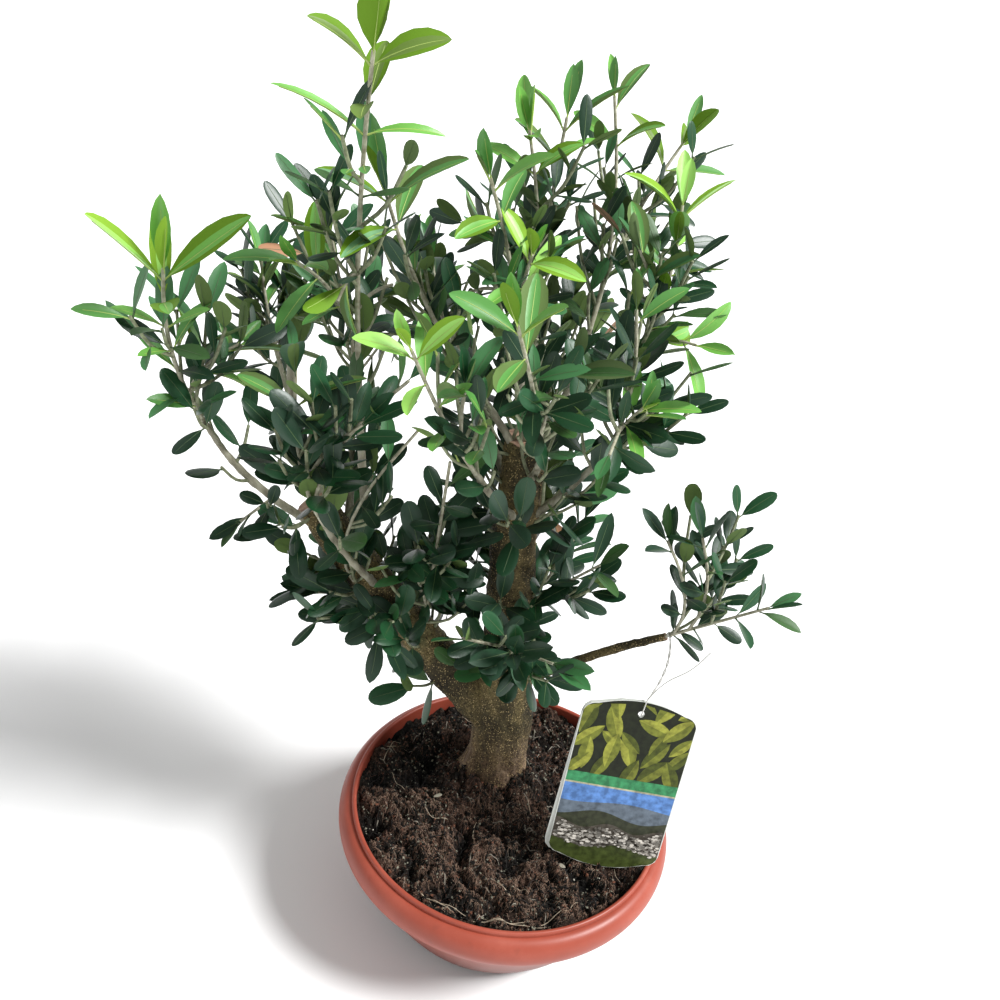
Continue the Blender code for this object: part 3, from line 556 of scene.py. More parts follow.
def bark_material():
    """Olive-brown bark with dense golden flecks, redder towards the foot."""
    made = new_material("bark", (0.06, 0.05, 0.03), 0.8, Specular_IOR_Level=0.3)
    olive = ramp(made, cloud(made, 34.0, 8.0, 0.6, (1.0, 1.0, 0.45)), (
        (0.30, (0.018, 0.014, 0.007)), (0.44, (0.056, 0.045, 0.020)),
        (0.58, (0.152, 0.116, 0.048)), (0.74, (0.070, 0.082, 0.034))))
    foot = ramp(made, cloud(made, 55.0, 8.0, 0.6, (1.0, 1.0, 0.6)), (
        (0.30, (0.030, 0.016, 0.009)), (0.50, (0.145, 0.090, 0.054)),
        (0.72, (0.340, 0.235, 0.165))))
    tone = blend_colours(made, height_share(made, SOIL_TOP + 0.07, SOIL_TOP), olive, foot)
    speck = dots(made, 680.0, ((0.15, 1.0), (0.34, 0.0)), (1.0, 1.0, 0.8))
    chosen = ramp(made, cloud(made, 210.0, 3.0), ((0.40, 0.0), (0.54, 0.95)))
    pale = multiply(made, speck, chosen)
    speckle = ramp(made, cloud(made, 620.0, 6.0, 0.75), ((0.38, 0.18), (0.48, 0.85), (0.62, 1.35)))
    tone = multiply(made, tone, speckle)
    bump(made, cloud(made, 260.0, 9.0, 0.65, (1.0, 1.0, 0.5)), 0.0022)
    bump(made, pale, 0.0003, 0.7)
    paint(made, blend_colours(made, pale, tone, (0.56, 0.42, 0.20)))
    return made


def young_bark_material():
    """Smooth grey-green bark with fine streaks along the bough."""
    made = new_material("young_bark", (0.19, 0.19, 0.13), 0.65)
    streaks = cloud(made, 130.0, 6.0, stretch=(1.0, 1.0, 0.25))
    tone = ramp(made, streaks, ((0.30, (0.110, 0.100, 0.066)), (0.50, (0.250, 0.235, 0.170)),
                                (0.70, (0.400, 0.385, 0.300))))
    speck = dots(made, 900.0, ((0.12, 0.6), (0.30, 0.0)))
    bump(made, streaks, 0.0004, 0.7)
    bump(made, speck, 0.0002, 0.6)
    paint(made, blend_colours(made, speck, tone, (0.42, 0.40, 0.31)))
    return made


def cut_wood_material():
    made = new_material("cut_wood", (0.30, 0.19, 0.12), 0.75)
    grain = cloud(made, 220.0, 6.0)
    paint(made, ramp(made, grain, ((0.30, (0.140, 0.080, 0.055)), (0.50, (0.330, 0.200, 0.140)),
                                   (0.72, (0.480, 0.330, 0.230)))))
    bump(made, grain, 0.0006)
    return made


def twig_material(name, colour, dark):
    made = new_material(name, colour, 0.6)
    streaks = cloud(made, 260.0, 4.0)
    paint(made, ramp(made, streaks, ((0.35, dark), (0.65, colour))))
    bump(made, streaks, 0.0002, 0.6)
    return made


def leaf_material(name, colour, roughness, relief, gloss):
    """One plain colour with a leathery surface."""
    made = new_material(name, colour, roughness, Specular_IOR_Level=gloss)
    bump(made, cloud(made, 420.0, 3.0), relief, 0.3)
    return made


def plastic_material():
    """Moulded terracotta-coloured plastic, dulled here and there by dust, with painted shade that darkens
    it towards the foot.
    """
    made = new_material("terracotta", (0.33, 0.066, 0.038), 0.42, Specular_IOR_Level=0.35)
    dust = cloud(made, 16.0, 8.0, 0.65)
    tone = ramp(made, dust, ((0.30, (0.240, 0.046, 0.026)), (0.55, (0.295, 0.058, 0.034)),
                             (0.75, (0.355, 0.084, 0.053))))
    # painted shade: the bowl darkens towards its foot, below the rolled band
    low = ramp(made, height_share(made, 0.0, 0.075), ((0.2, 0.30), (1.0, 1.0)))
    tone = multiply(made, tone, low)
    grime = ramp(made, cloud(made, 90.0, 8.0), ((0.60, 0.0), (0.74, 0.35)))
    paint(made, blend_colours(made, grime, tone, (0.15, 0.040, 0.026)),
          ramp(made, dust, ((0.3, 0.36), (0.7, 0.50))))
    bump(made, cloud(made, 900.0, 2.0), 0.0001, 0.35)
    return made


def peat_material():
    """Black peat with browner, drier heaps, and painted shade in its creases, low places and hollows."""
    made = new_material("peat", (0.022, 0.013, 0.008), 0.95, Specular_IOR_Level=0.2)
    # the crumb pattern is partly the peat's own black and brown mottle and partly painted shade: its
    # darkest values lie in the creases of the bump it also drives
    crumbs = cloud(made, 460.0, 10.0, 0.85)
    wet = ramp(made, crumbs, ((0.38, (0.000, 0.000, 0.000)), (0.50, (0.008, 0.007, 0.005)),
                              (0.58, (0.040, 0.036, 0.028)), (0.67, (0.210, 0.200, 0.165))))
    dry = ramp(made, crumbs, ((0.36, (0.002, 0.001, 0.001)), (0.47, (0.026, 0.014, 0.009)),
                              (0.56, (0.110, 0.064, 0.045)), (0.66, (0.380, 0.265, 0.195))))
    zones = ramp(made, cloud(made, 19.0, 6.0), ((0.44, 0.0), (0.58, 1.0)))
    # painted shade: the peat darkens the lower it lies under the level, deepest in the hollows
    depth = height_share(made, SOIL_TOP - 0.009, SOIL_TOP + 0.003)
    shade = ramp(made, depth, ((0.10, 0.10), (0.75, 1.0)))
    paint(made, multiply(made, blend_colours(made, zones, wet, dry), shade))
    bump(made, crumbs, 0.0030)
    return made


# ---------------------------------------------------------------- bowl
def bowl_wall(steps, inset=0.0):
    """The tapering bowl's outline from its foot to the rolled band."""
    shoulder = POT_HEIGHT - BAND_TOP - BAND_HEIGHT
    outline = []
    for step in range(1, steps + 1):
        height = shoulder * step / steps
        share = min(height / shoulder, 1.0)
        radius = mix((BOWL_FOOT_RADIUS, LIP_OUTER), share ** BOWL_CURVE)
        outline.append((radius - inset, height))
    return outline


def arc(centre, sizes, start, end, steps):
    """Points of an elliptic arc in the profile's plane."""
    points = []
    for share in even_shares(steps):
        turn = math.radians(mix((start, end), share))
        points.append((centre[0] + sizes[0] * math.cos(turn), centre[1] + sizes[1] * math.sin(turn)))
    return points


def build_pot():
    """The turned bowl with its bead, groove and rolled band."""
    bead = 0.5 * (LIP_OUTER - LIP_INNER)
    inside = bowl_wall(8, POT_WALL)
    inside.append((LIP_INNER - 0.0002, inside[-1][1] + 0.004))
    lip = arc((LIP_INNER + bead, POT_HEIGHT - bead), (bead, bead), 180, 0, 12)
    middle = POT_HEIGHT - BAND_TOP - 0.5 * BAND_HEIGHT
    groove = [(LIP_OUTER, POT_HEIGHT - bead - GROOVE_DEPTH)]
    band = arc((LIP_OUTER + 0.0004, middle), (BAND_WIDTH, 0.5 * BAND_HEIGHT), 90, -90, 28)
    outside = bowl_wall(14)[-2::-1]
    foot = [(BOWL_FOOT_RADIUS + 0.0005, 0.0012), (BOWL_FOOT_RADIUS - 0.001, 0.0), (0.001, 0.0)]
    profile = inside + lip + groove + band + outside + foot
    pile = Pile()
    rows = [[Vector((*circle(radius, step / BOWL_COLUMNS), height)) for step in range(BOWL_COLUMNS)]
            for radius, height in profile]
    pile.rows(rows, closed=True, flip=True)
    pot = pile.piece("bowl_surface", plastic_material(), "terracotta_plastic")
    pot.data.set_sharp_from_angle(angle=math.radians(50))
    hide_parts("pot")


# ---------------------------------------------------------------- peat
SOIL_RINGS = 150
SOIL_COLUMNS = 420
SOIL_SPAN = (0.001, LIP_INNER - 0.0005)
SOIL_SKIRT = 0.02
CLUMPS = ((30.0, 0.0085), (75.0, 0.0062), (190.0, 0.0038))     # creased lumps: scale and height
SOFT_LUMPS = ((620.0, 0.0013), (11.0, 0.0045))
CLUMP_SINK = 0.0062             # how far the clumps' creases lie under the level
MOUND = (0.0080, 0.022)         # height and width of the peat heaped against the trunk
# sunk places: their middle, radius and depth
HOLLOWS = (
    ((-0.054, 0.046), 0.017, 0.012), ((-0.074, 0.020), 0.018, 0.010),
    ((-0.099, 0.055), 0.016, 0.008), ((-0.106, -0.040), 0.012, 0.010),
    ((-0.110, 0.005), 0.010, 0.006), ((0.024, 0.078), 0.015, 0.008),
    ((0.050, 0.010), 0.018, 0.009), ((-0.008, -0.108), 0.012, 0.005),
    ((0.070, 0.060), 0.020, 0.006), ((-0.020, 0.098), 0.018, 0.007),
    ((-0.066, -0.076), 0.009, 0.005), ((0.012, -0.062), 0.010, 0.006),
    ((0.064, -0.066), 0.011, 0.006), ((-0.030, -0.040), 0.009, 0.004),
)
CRUMB_KINDS = (
    # name, how many, sizes, colour, lowest height against the level
    ("crumbs_black", 5200, (0.0005, 0.0028), (0.005, 0.004, 0.003), -1.0),
    ("crumbs_brown", 3800, (0.0004, 0.0022), (0.060, 0.036, 0.025), -0.004),
    ("crumbs_red", 1500, (0.0004, 0.0018), (0.125, 0.052, 0.031), -0.003),
    ("crumbs_grey", 3600, (0.0003, 0.0015), (0.200, 0.195, 0.150), -0.014),
)
STRAND_KINDS = (
    # name, how many, lengths, radius, colour, lift, curl, furthest back, lowest height
    ("peat_fluff", 5200, (0.0016, 0.0045), 0.00013, (0.330, 0.215, 0.150), 0.0022, 160, 0.0, 0.0),
    ("peat_fibres", 2200, (0.003, 0.008), 0.00017, (0.120, 0.060, 0.040), 0.0030, 110, 0.13, -0.003),
    ("dark_fibres", 1100, (0.005, 0.016), 0.00032, (0.010, 0.008, 0.007), 0.0040, 60, 0.13, -1.0),
    ("splinters", 100, (0.005, 0.013), 0.00062, (0.230, 0.205, 0.165), 0.0022, 12, 0.13, -0.006),
    ("pale_roots", 34, (0.010, 0.032), 0.00030, (0.44, 0.36, 0.26), 0.0030, 70, 0.13, -0.002),
)
STRAND_STEPS = 5
# long pale roots that lie inside the front lip: heading from the middle, length and turn
LIP_ROOTS = ((236, 0.056, 36), (240, 0.030, 8), (262, 0.044, 30), (266, 0.050, 18), (286, 0.022, 30))
LIP_ROOT_RADIUS = 0.00042
LITTER_COUNT = 6
LITTER_LENGTH = (0.006, 0.011)
LITTER_WIDTH = (0.003, 0.005)
GRIT_COUNT = 70
GRIT_SIZE = (0.0004, 0.0011)


def soil_height(x, y):
    """Height of the clumpy surface, with sharp dark creases between rounded clumps."""
    radius = math.hypot(x, y)
    drop = SOIL_EDGE_DROP * min(max((radius - SOIL_FLAT) / (LIP_INNER - SOIL_FLAT), 0.0), 1.0)
    height = SOIL_TOP - drop - CLUMP_SINK
    for scale, size in CLUMPS:
        bend = 0.4 * noise.noise(Vector((y * scale * 0.7, x * scale * 0.7, 3.0)))
        spot = Vector((x * scale + bend, y * scale - bend, scale))
        height += size * min(2.2 * abs(noise.noise(spot)), 1.0)
    for scale, size in SOFT_LUMPS:
        height += size * noise.noise(Vector((x * scale, y * scale, scale)))
    for (left, back), width, depth in HOLLOWS:
        height -= depth * math.exp(-(((x - left) ** 2 + (y - back) ** 2) / width ** 2) ** 1.5)
    away = max(math.hypot(x - TRUNK_FOOT.x, y - TRUNK_FOOT.y) - TRUNK_RADII[0], 0.0)
    return height + MOUND[0] * math.exp(-(away / MOUND[1]) ** 2)


def soil_spot(chance, back=0.13, lowest=-1.0, reach=0.118):
    """A random point of the surface, in front of a given depth and above a given height."""
    while True:
        radius = reach * math.sqrt(chance.random())
        x, y = circle(radius, chance.random())
        if y > back + 0.03 * noise.noise(Vector((x * 40, 0.0, 5.0))):
            continue
        height = soil_height(x, y)
        if height > SOIL_TOP + lowest:
            return Vector((x, y, height))


def crumb(pile, place, size, chance):
    """A small rough lump of six corners."""
    turn = Matrix.Rotation(chance.uniform(0, 6.28), 3, direction(chance.uniform(0, 360), 30))
    ring = [place + turn @ Vector((*circle(1.0, step / 4), 0.0)) * size * chance.uniform(0.6, 1.2)
            for step in range(4)]
    for side in (1, -1):
        tip = place + turn @ Vector((0.0, 0.0, side * size * chance.uniform(0.4, 0.8)))
        pile.fan(ring, tip, flip=side < 0)


def strand(pile, place, heading, length, size, curl, lift):
    """A thin strand that lies on the peat and lifts at its middle."""
    path = []
    spot = place.copy()
    for share in even_shares(STRAND_STEPS):
        height = soil_height(spot.x, spot.y) + 0.6 * size + lift * math.sin(math.pi * share)
        path.append(Vector((spot.x, spot.y, height)))
        spot = spot + direction(heading + curl * share, 0) * (length / STRAND_STEPS)
        if math.hypot(spot.x, spot.y) > LIP_INNER - 0.002:
            return
    path = smooth_path(path, 1 + round(length / 0.02))
    sizes = [size * (1.0 - 0.5 * index / len(path)) for index in range(len(path))]
    pile.rows(tube_rows(path, sizes, 3), closed=True)


def build_soil():
    """The peat's surface."""
    pile = Pile()
    rows = []
    for share in even_shares(SOIL_RINGS):
        radius = mix(SOIL_SPAN, share)
        row = [circle(radius, step / SOIL_COLUMNS) for step in range(SOIL_COLUMNS)]
        rows.append([Vector((x, y, soil_height(x, y))) for x, y in row])
    rows.append([Vector((vert.x, vert.y, SOIL_TOP - SOIL_SKIRT)) for vert in rows[-1]])
    pile.rows(rows, closed=True)
    pile.fan(rows[0], Vector((0, 0, soil_height(0, 0))), flip=True)
    soil = pile.piece("peat_surface", peat_material(), "peat", smooth=False)
    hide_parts("soil")


def build_crumbs():
    for name, count, sizes, colour, lowest in CRUMB_KINDS:
        pile = Pile()
        chance = random.Random(name)
        for _ in range(count):
            size = mix(sizes, chance.random() ** 3)
            crumb(pile, soil_spot(chance, lowest=lowest) + UP * 0.4 * size, size, chance)
        pile.piece(name, new_material(name, colour, 0.95, Specular_IOR_Level=0.2), "peat", smooth=False)


def build_strands():
    """Fibres, splinters and roots on the peat."""
    for name, count, lengths, size, colour, lift, curl, back, lowest in STRAND_KINDS:
        pile = Pile()
        chance = random.Random(name)
        for _ in range(count):
            place = soil_spot(chance, back, lowest)
            strand(pile, place, chance.uniform(0, 360), chance.uniform(*lengths),
                   size * chance.uniform(0.7, 1.2), chance.uniform(-curl, curl), lift * chance.random())
        if name == "pale_roots":
            for heading, length, turn in LIP_ROOTS:
                place = direction(heading, 0) * (LIP_INNER - 0.009)
                strand(pile, place, heading + 93, length, LIP_ROOT_RADIUS, turn, 0.004)
        pile.piece(name, new_material(name, colour, 0.85), "peat")


def build_litter():
    """Pale grit and small dry leaves."""
    pile = Pile()
    chance = random.Random("grit")
    for _ in range(GRIT_COUNT):
        size = chance.uniform(*GRIT_SIZE)
        crumb(pile, soil_spot(chance) + UP * 0.5 * size, size, chance)
    pile.piece("pale_grit", new_material("grit", (0.50, 0.47, 0.40), 0.8), "peat", smooth=False)
    litter = (Pile(), Pile())
    chance = random.Random("litter")
    for _ in range(LITTER_COUNT):
        place = soil_spot(chance)
        heading = direction(chance.uniform(0, 360), chance.uniform(-5, 15))
        add_blade(Leaf(place + UP * 0.001, heading, (UP - heading * heading.z).normalized(),
                       chance.uniform(*LITTER_LENGTH), chance.uniform(*LITTER_WIDTH), 0.1, "old", "dead"),
                  *litter)
    dry = new_material("dry_leaf", (0.24, 0.22, 0.17), 0.7)
    litter[0].piece("leaf_litter", dry, "peat")
    litter[1].piece("leaf_litter_undersides", dry, "peat")


# ---------------------------------------------------------------- trunk and limbs
def trunk_path():
    path = []
    for share in even_shares(TRUNK_STEPS):
        ease = share * share * (3.0 - 2.0 * share)
        path.append(TRUNK_FOOT + Vector((TRUNK_LEAN * ease, 0.0, TRUNK_HEIGHT * share)))
    return path


def trunk_radius(share):
    height = share * TRUNK_HEIGHT
    flare = FLARE * math.exp(-height / FLARE_HEIGHT)
    swell = FORK_SWELL * math.exp(-((height - FORK_HEIGHT) / FORK_SPREAD) ** 2)
    return mix(TRUNK_RADII, share) + flare + swell


def limb_path(limb, start):
    path = [start.copy()]
    for step in range(LIMB_STEPS):
        share = (step + 0.5) / LIMB_STEPS
        turn = direction(mix(limb.heading, share), mix(limb.rise, share))
        path.append(path[-1] + turn * (limb.length / LIMB_STEPS))
    return path


def toe_radius(share, outward):
    """How far the root toes stand out of the trunk near the peat."""
    height = share * TRUNK_HEIGHT
    extra = 0.0
    for heading, reach in ROOT_TOES:
        facing = max(outward.dot(direction(heading, 0)), 0.0)
        extra += (reach - TOE_START) * facing ** TOE_SHARPNESS * math.exp(-(height / TOE_HEIGHT) ** 1.4)
    return extra


# the bark's lumps, as shares of the limb's radius
LUMP_SHARE = 0.090
RIDGE_SHARE = 0.050
KNOT_SHARE = 0.20
# its finer relief in metres; folds are cut to their full depth in limbs of this radius
WART_HEIGHT = 0.0022
PIT_DEPTH = 0.00038
FOLD_DEPTH = 0.0014
FOLD_WIDTH = 0.12
FOLDED_RADIUS = 0.015


def bark_relief(place, size):
    """Lumps and knots, ridges along the limb, warts, folds round it and small pits."""
    ridge = noise.noise(Vector((place.x * 90, place.y * 90, place.z * 22)))
    lump = noise.noise(place * 38)
    knot = max(noise.noise(place * 30 + Vector((7, 3, 5))) - 0.35, 0.0)
    pit = noise.noise(place * 420)
    wart = max(noise.noise(place * 150) - 0.25, 0.0)
    fold = abs(noise.noise(Vector((place.x * 30, place.y * 30, place.z * 75))))
    return (size * (LUMP_SHARE * lump + RIDGE_SHARE * ridge + KNOT_SHARE * knot) + WART_HEIGHT * wart
            - FOLD_DEPTH * max(FOLD_WIDTH - fold, 0.0) / FOLD_WIDTH * min(size / FOLDED_RADIUS, 1.0)
            + PIT_DEPTH * pit)


def relief_tube(pile, path, sizes, sides, extra=None):
    """A limb whose surface has the bark's relief; returns its last ring."""
    rows = []
    along = even_shares(len(path) - 1)
    for share, place, size, (_, side, other) in zip(along, path, sizes, frames_along(path)):
        row = []
        for step in range(sides):
            outward = around(side, other, step / sides)
            reach = size + (extra(share, outward) if extra else 0.0)
            reach += bark_relief(place + outward * reach, size)
            row.append(place + outward * reach)
        rows.append(row)
    pile.rows(rows, closed=True)
    return rows[-1]


def sawn_end(pile, ring):
    """A slightly domed cut face inside a ring."""
    centre = sum(ring, Vector()) / len(ring)
    inner = [centre.lerp(point, 0.86) for point in ring]
    pile.rows([ring, inner], closed=True)
    pile.fan(inner, centre)


SAWN = ("stub_left", "branch_right_low")
SAWN_SHARES = (1.0, 0.95)
# how finely the bark is cut: parts of each step along a limb, and sides round it
TRUNK_GRID = (20, 130)
LIMB_GRID = (30, 90)
BOUGH_GRID = (8, 16)
# how a limb swells where it leaves its carrier: the extra radius, and rings until it fades
LIMB_SWELL = (0.004, 18)
BOUGH_SWELL = (0.0016, 3)


def limb_sizes(path, ends, shares, swell):
    """A limb's radii, which taper along it and swell at its root."""
    sizes = []
    for index, share in enumerate(even_shares(len(path) - 1)):
        sizes.append(mix(ends, share) * mix(shares, share) + swell[0] * math.exp(-index / swell[1]))
    return sizes


def build_wood(paths, radii):
    """Bark with relief over the trunk, the limb and every bough."""
    ends = Pile()
    bark = Pile()
    path = smooth_path(paths["trunk"], TRUNK_GRID[0])
    sizes = [trunk_radius(share) for share in even_shares(len(path) - 1)]
    sawn_end(ends, relief_tube(bark, path, sizes, TRUNK_GRID[1], toe_radius))
    trunk = bark.piece("trunk_bark", bark_material(), "bark")
    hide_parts("trunk")
    thick = Pile()
    path = smooth_path(paths["limb_left"], LIMB_GRID[0])
    sizes = limb_sizes(path, radii["limb_left"], (1.0, 1.0), LIMB_SWELL)
    sawn_end(ends, relief_tube(thick, path, sizes, LIMB_GRID[1]))
    thin = Pile()
    names = [name for name in LIMBS if name != "limb_left"]
    for name in names:
        path = smooth_path(paths[name], BOUGH_GRID[0])
        shares = SAWN_SHARES if name in SAWN else BOUGH_SHARES
        sizes = limb_sizes(path, radii[name], shares, BOUGH_SWELL)
        ring = relief_tube(thick if name == "branch_right_low" else thin, path, sizes, BOUGH_GRID[1])
        sawn_end(ends if name in SAWN else thin, ring)
    limb = thick.piece("limb_bark", trunk.data.materials[0], "bark")
    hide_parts("limb_left", "branch_right_low")
    boughs = thin.piece("bough_bark", young_bark_material(), "young_bark")
    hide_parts(*[name for name in names if name != "branch_right_low"])
    ends.piece("sawn_faces", cut_wood_material(), "bark", smooth=False)


# ---------------------------------------------------------------- shoots
Shoot = namedtuple("Shoot", "path radii leading tint first", defaults=(False,))


def shoot_path(start, aim, tip, steps):
    bend = start + aim * ((tip - start).length * SHOOT_BEND)
    path = []
    for share in even_shares(steps):
        first = start.lerp(bend, share)
        path.append(first.lerp(bend.lerp(tip, share), share))
    return path


def side_direction(tangent, turn, spread):
    across = tangent.cross(UP)
    if across.length < 0.1:
        across = tangent.cross(Vector((1.0, 0.0, 0.0)))
    across.normalize()
    across = Matrix.Rotation(math.radians(turn), 3, tangent) @ across
    spread = math.radians(spread)
    return tangent * math.cos(spread) + across * math.sin(spread)


def leading_shoots(mass, start, aim):
    """The mass's stem, and the other leading shoots that fork from it."""
    stem = shoot_path(start, aim, Vector(mass.tips[0]), STEM_STEPS)
    shoots = [Shoot(stem, (mass.radius, SHOOT_TIP_RADIUS), True, mass.tints[0], True)]
    for index, tip in enumerate(mass.tips[1:]):
        share = FORK_FIRST + FORK_STEP * index
        fork, tangent = point_along(stem, share)
        aim = (tangent + (Vector(tip) - fork).normalized()).normalized()
        radius = max(0.8 * mix((mass.radius, SHOOT_TIP_RADIUS), share), SIDE_RADIUS)
        shoots.append(Shoot(shoot_path(fork, aim, Vector(tip), FORK_STEPS),
                            (radius, SHOOT_TIP_RADIUS), True, mass.tints[index + 1]))
    return shoots


def side_shoots(leader, seed, span, step, lengths):
    """Shorter shoots that leave a leading shoot by turns, and bend upward."""
    chance = random.Random(seed)
    length = (leader.path[-1] - leader.path[0]).length
    turn = chance.uniform(0, 360)
    shoots = []
    along = span[0] * length
    while along < span[1] * length:
        share = along / length
        start, tangent = point_along(leader.path, share)
        aim = side_direction(tangent, turn, chance.uniform(*SIDE_SPREAD))
        reach = chance.uniform(*lengths) * (1.2 - 0.5 * share)
        tip = start + (aim + UP * SIDE_UP).normalized() * reach
        tint = OLDER[OLDER[leader.tint]] if share < 0.6 else OLDER[leader.tint]
        shoots.append(Shoot(shoot_path(start, aim, tip, SIDE_STEPS),
                            (SIDE_RADIUS, SHOOT_TIP_RADIUS), False, tint))
        turn += GOLDEN_TURN + chance.uniform(-20, 20)
        along += step * chance.uniform(0.85, 1.2)
    return shoots


def plan_mass(mass, paths):
    """Where a mass's stem leaves its carrier, and its leading shoots."""
    start, tangent = point_along(paths[mass.carrier], mass.along)
    if mass.along == 1.0:
        aim = tangent
    else:
        aim = (Vector(mass.tips[0]) - start).normalized()
    return leading_shoots(mass, start, aim)


def tree_of(places):
    """A search tree over points."""
    tree = kdtree.KDTree(len(places))
    for index, place in enumerate(places):
        tree.insert(place, index)
    tree.balance()
    return tree


class Space:
    """Which points belong to which mass, and where the limbs are."""

    def __init__(self, plans, paths, radii):
        self.owners = []
        places = []
        for name, leaders in plans.items():
            for leader in leaders:
                for share in even_shares(SPACE_SAMPLES):
                    places.append(point_along(leader.path, share)[0])
                    self.owners.append(name)
        self.masses = tree_of(places)
        self.sizes = []
        places = []
        for name, path in paths.items():
            for share in even_shares(LIMB_SAMPLES * (len(path) - 1)):
                places.append(point_along(path, share)[0])
                self.sizes.append(trunk_radius(share) if name == "trunk" else mix(radii[name], share))
        self.limbs = tree_of(places)

    def free(self, owner, point):
        """True where a point is nearest to its own mass and clear of every limb."""
        if owner and self.owners[self.masses.find(point)[1]] != owner:
            return False
        return all(distance > self.sizes[index] + LIMB_MARGIN
                   for _, index, distance in self.limbs.find_n(point, NEAREST_LIMB_POINTS))


# ---------------------------------------------------------------- leaves
Leaf = namedtuple("Leaf", "root along upper length width droop form tint")


def leaf_line(leaf, share):
    """A point of the blade's middle line, which bends away from its upper side."""
    reach = leaf.length * (share - 0.25 * leaf.droop * share ** 3)
    drop = leaf.length * leaf.droop * share ** 2
    return leaf.root + leaf.along * (PETIOLE + reach) - leaf.upper * drop


def add_blade(leaf, uppers, lowers):
    """The upper side and the underside of a leaf, which share their edge."""
    across = leaf.upper.cross(leaf.along)
    form = FORMS[leaf.form]
    top = []
    under = []
    for share, broad in form.rows:
        middle = leaf_line(leaf, share)
        reach = 0.5 * leaf.width * broad
        row = []
        for column, lift in zip(BLADE_COLUMNS, form.lift):
            row.append(middle + across * column * reach + leaf.upper * lift * leaf.width * broad)
        top.append(row)
        low = row[2] - leaf.upper * LEAF_THICKNESS * broad
        under.append([row[0], low, row[4]])
    uppers.rows(top, flip=True)
    lowers.rows(under)


def add_rib(leaf, ribs):
    """The stalk and the pale middle rib."""
    shares = [share for share, _ in FORMS[leaf.form].rows[:-2]]
    path = [leaf.root - leaf.along * 0.0004] + [leaf_line(leaf, share) for share in shares]
    sizes = [2.2 * RIB_RADIUS] + [RIB_RADIUS * (1.3 - share) for share in shares]
    across = leaf.upper.cross(leaf.along)
    rows = []
    for place, size in zip(path, sizes):
        rows.append([place + across * size + leaf.upper * RIB_PROUD,
                     place - across * size + leaf.upper * RIB_PROUD,
                     place - leaf.upper * (1.5 * size + LEAF_THICKNESS)])
    ribs.rows(rows, closed=True, flip=True)


def leaf_fits(leaf, owner, space):
    across = leaf.upper.cross(leaf.along)
    return all(space.free(owner, leaf_line(leaf, share) + across * side * leaf.width)
               for share, side in LEAF_PROBES)


def new_leaf(root, outward, tangent, form, tint, chance, size, vigour):
    """A leaf of its form's sizes whose upper side turns to the light."""
    facing = (tangent + LIGHTWARD * LIGHT_TURN).normalized()
    upper = (facing - outward * facing.dot(outward)).normalized()
    lean = math.radians(chance.uniform(-TWIST, TWIST))
    upper = Matrix.Rotation(lean, 3, outward) @ upper
    high = (root.z - CROWN_TOP[0]) / (CROWN_TOP[1] - CROWN_TOP[0])
    high = min(max(high, 0.0), 1.0)
    shares = (1.0, 1.0) if form in ("young", "bud") else [mix(pair, high) for pair in CROWN_SHARES]
    length = chance.uniform(*FORMS[form].length) * shares[0] * size * vigour.length
    if form == "bud":
        length *= vigour.bud
    width = length * chance.uniform(*FORMS[form].broad) * shares[1] * vigour.broad
    droop = chance.uniform(*FORMS[form].droop) * vigour.droop
    return Leaf(root, outward, upper, length, width, droop, form, tint)


def pair_form(shoot, order, tint):
    """Young leaves are long, and the oldest are blunt."""
    shaded = tint in ("dark", "deep")
    if shoot.leading and order < 3 and not shaded:
        return "young" if order else "bud"
    if shaded and (order > 2 or not shoot.leading):
        return "old"
    return "grown"


def pair_places(shoot, chance):
    """Shares of a shoot's length where its pairs stand, the newest first."""
    length = (shoot.path[-1] - shoot.path[0]).length
    along = length - 0.002
    places = []
    if shoot.leading:
        places.append(along / length)
        along -= TIP_STEP
    while along > 0.16 * length:
        places.append(along / length)
        along -= LEAF_STEP * chance.uniform(0.85, 1.15)
    return places


def turn_towards(tangent, heading):
    """The turn about a shoot at which its pair points along a heading."""
    across = tangent.cross(UP).normalized()
    wanted = direction(heading, 0)
    wanted -= tangent * wanted.dot(tangent)
    return math.degrees(math.atan2(tangent.dot(across.cross(wanted)), across.dot(wanted)))


def shoot_leaves(shoot, owner, space, seed):
    """Opposite pairs, each turned a quarter from the last; the newest pairs are long."""
    chance = random.Random(seed)
    turn = chance.uniform(0, 180)
    size = SIZE_SHARES.get(owner, 1.0)
    vigour = VIGOUR.get(owner) if shoot.first else None
    if vigour:
        turn = turn_towards(point_along(shoot.path, 1.0)[1], vigour.heading) - 90.0
    leaves = []
    for order, place in enumerate(pair_places(shoot, chance)):
        root, tangent = point_along(shoot.path, place)
        tint = shoot.tint if order < 2 + shoot.leading else OLDER[shoot.tint]
        if order > 4:
            tint = OLDER[tint]
        form = pair_form(shoot, order, tint)
        spreads = LEADING_SPREADS if shoot.leading else OTHER_SPREADS
        spread = spreads[min(order, len(spreads) - 1)]
        force = vigour if vigour and order < 3 else PLAIN_VIGOUR
        if vigour and owner in ARCHED and order == ARCHED[owner][0]:
            form, tint, force = "young", "fresh", ARCHED[owner][1]
        for side in (0, 180):
            outward = side_direction(tangent, turn + side, force.spread * chance.uniform(*spread))
            dealt = "dead" if chance.random() < DEAD_SHARE else chance.choice(DEALT[tint])
            leaf = new_leaf(root, outward, tangent, form, dealt, chance, size, force)
            if leaf_fits(leaf, None if force.heading else owner, space):
                leaves.append(leaf)
        turn += 90 + (chance.uniform(-15, 15) if order or not vigour else 0.0)
    return leaves


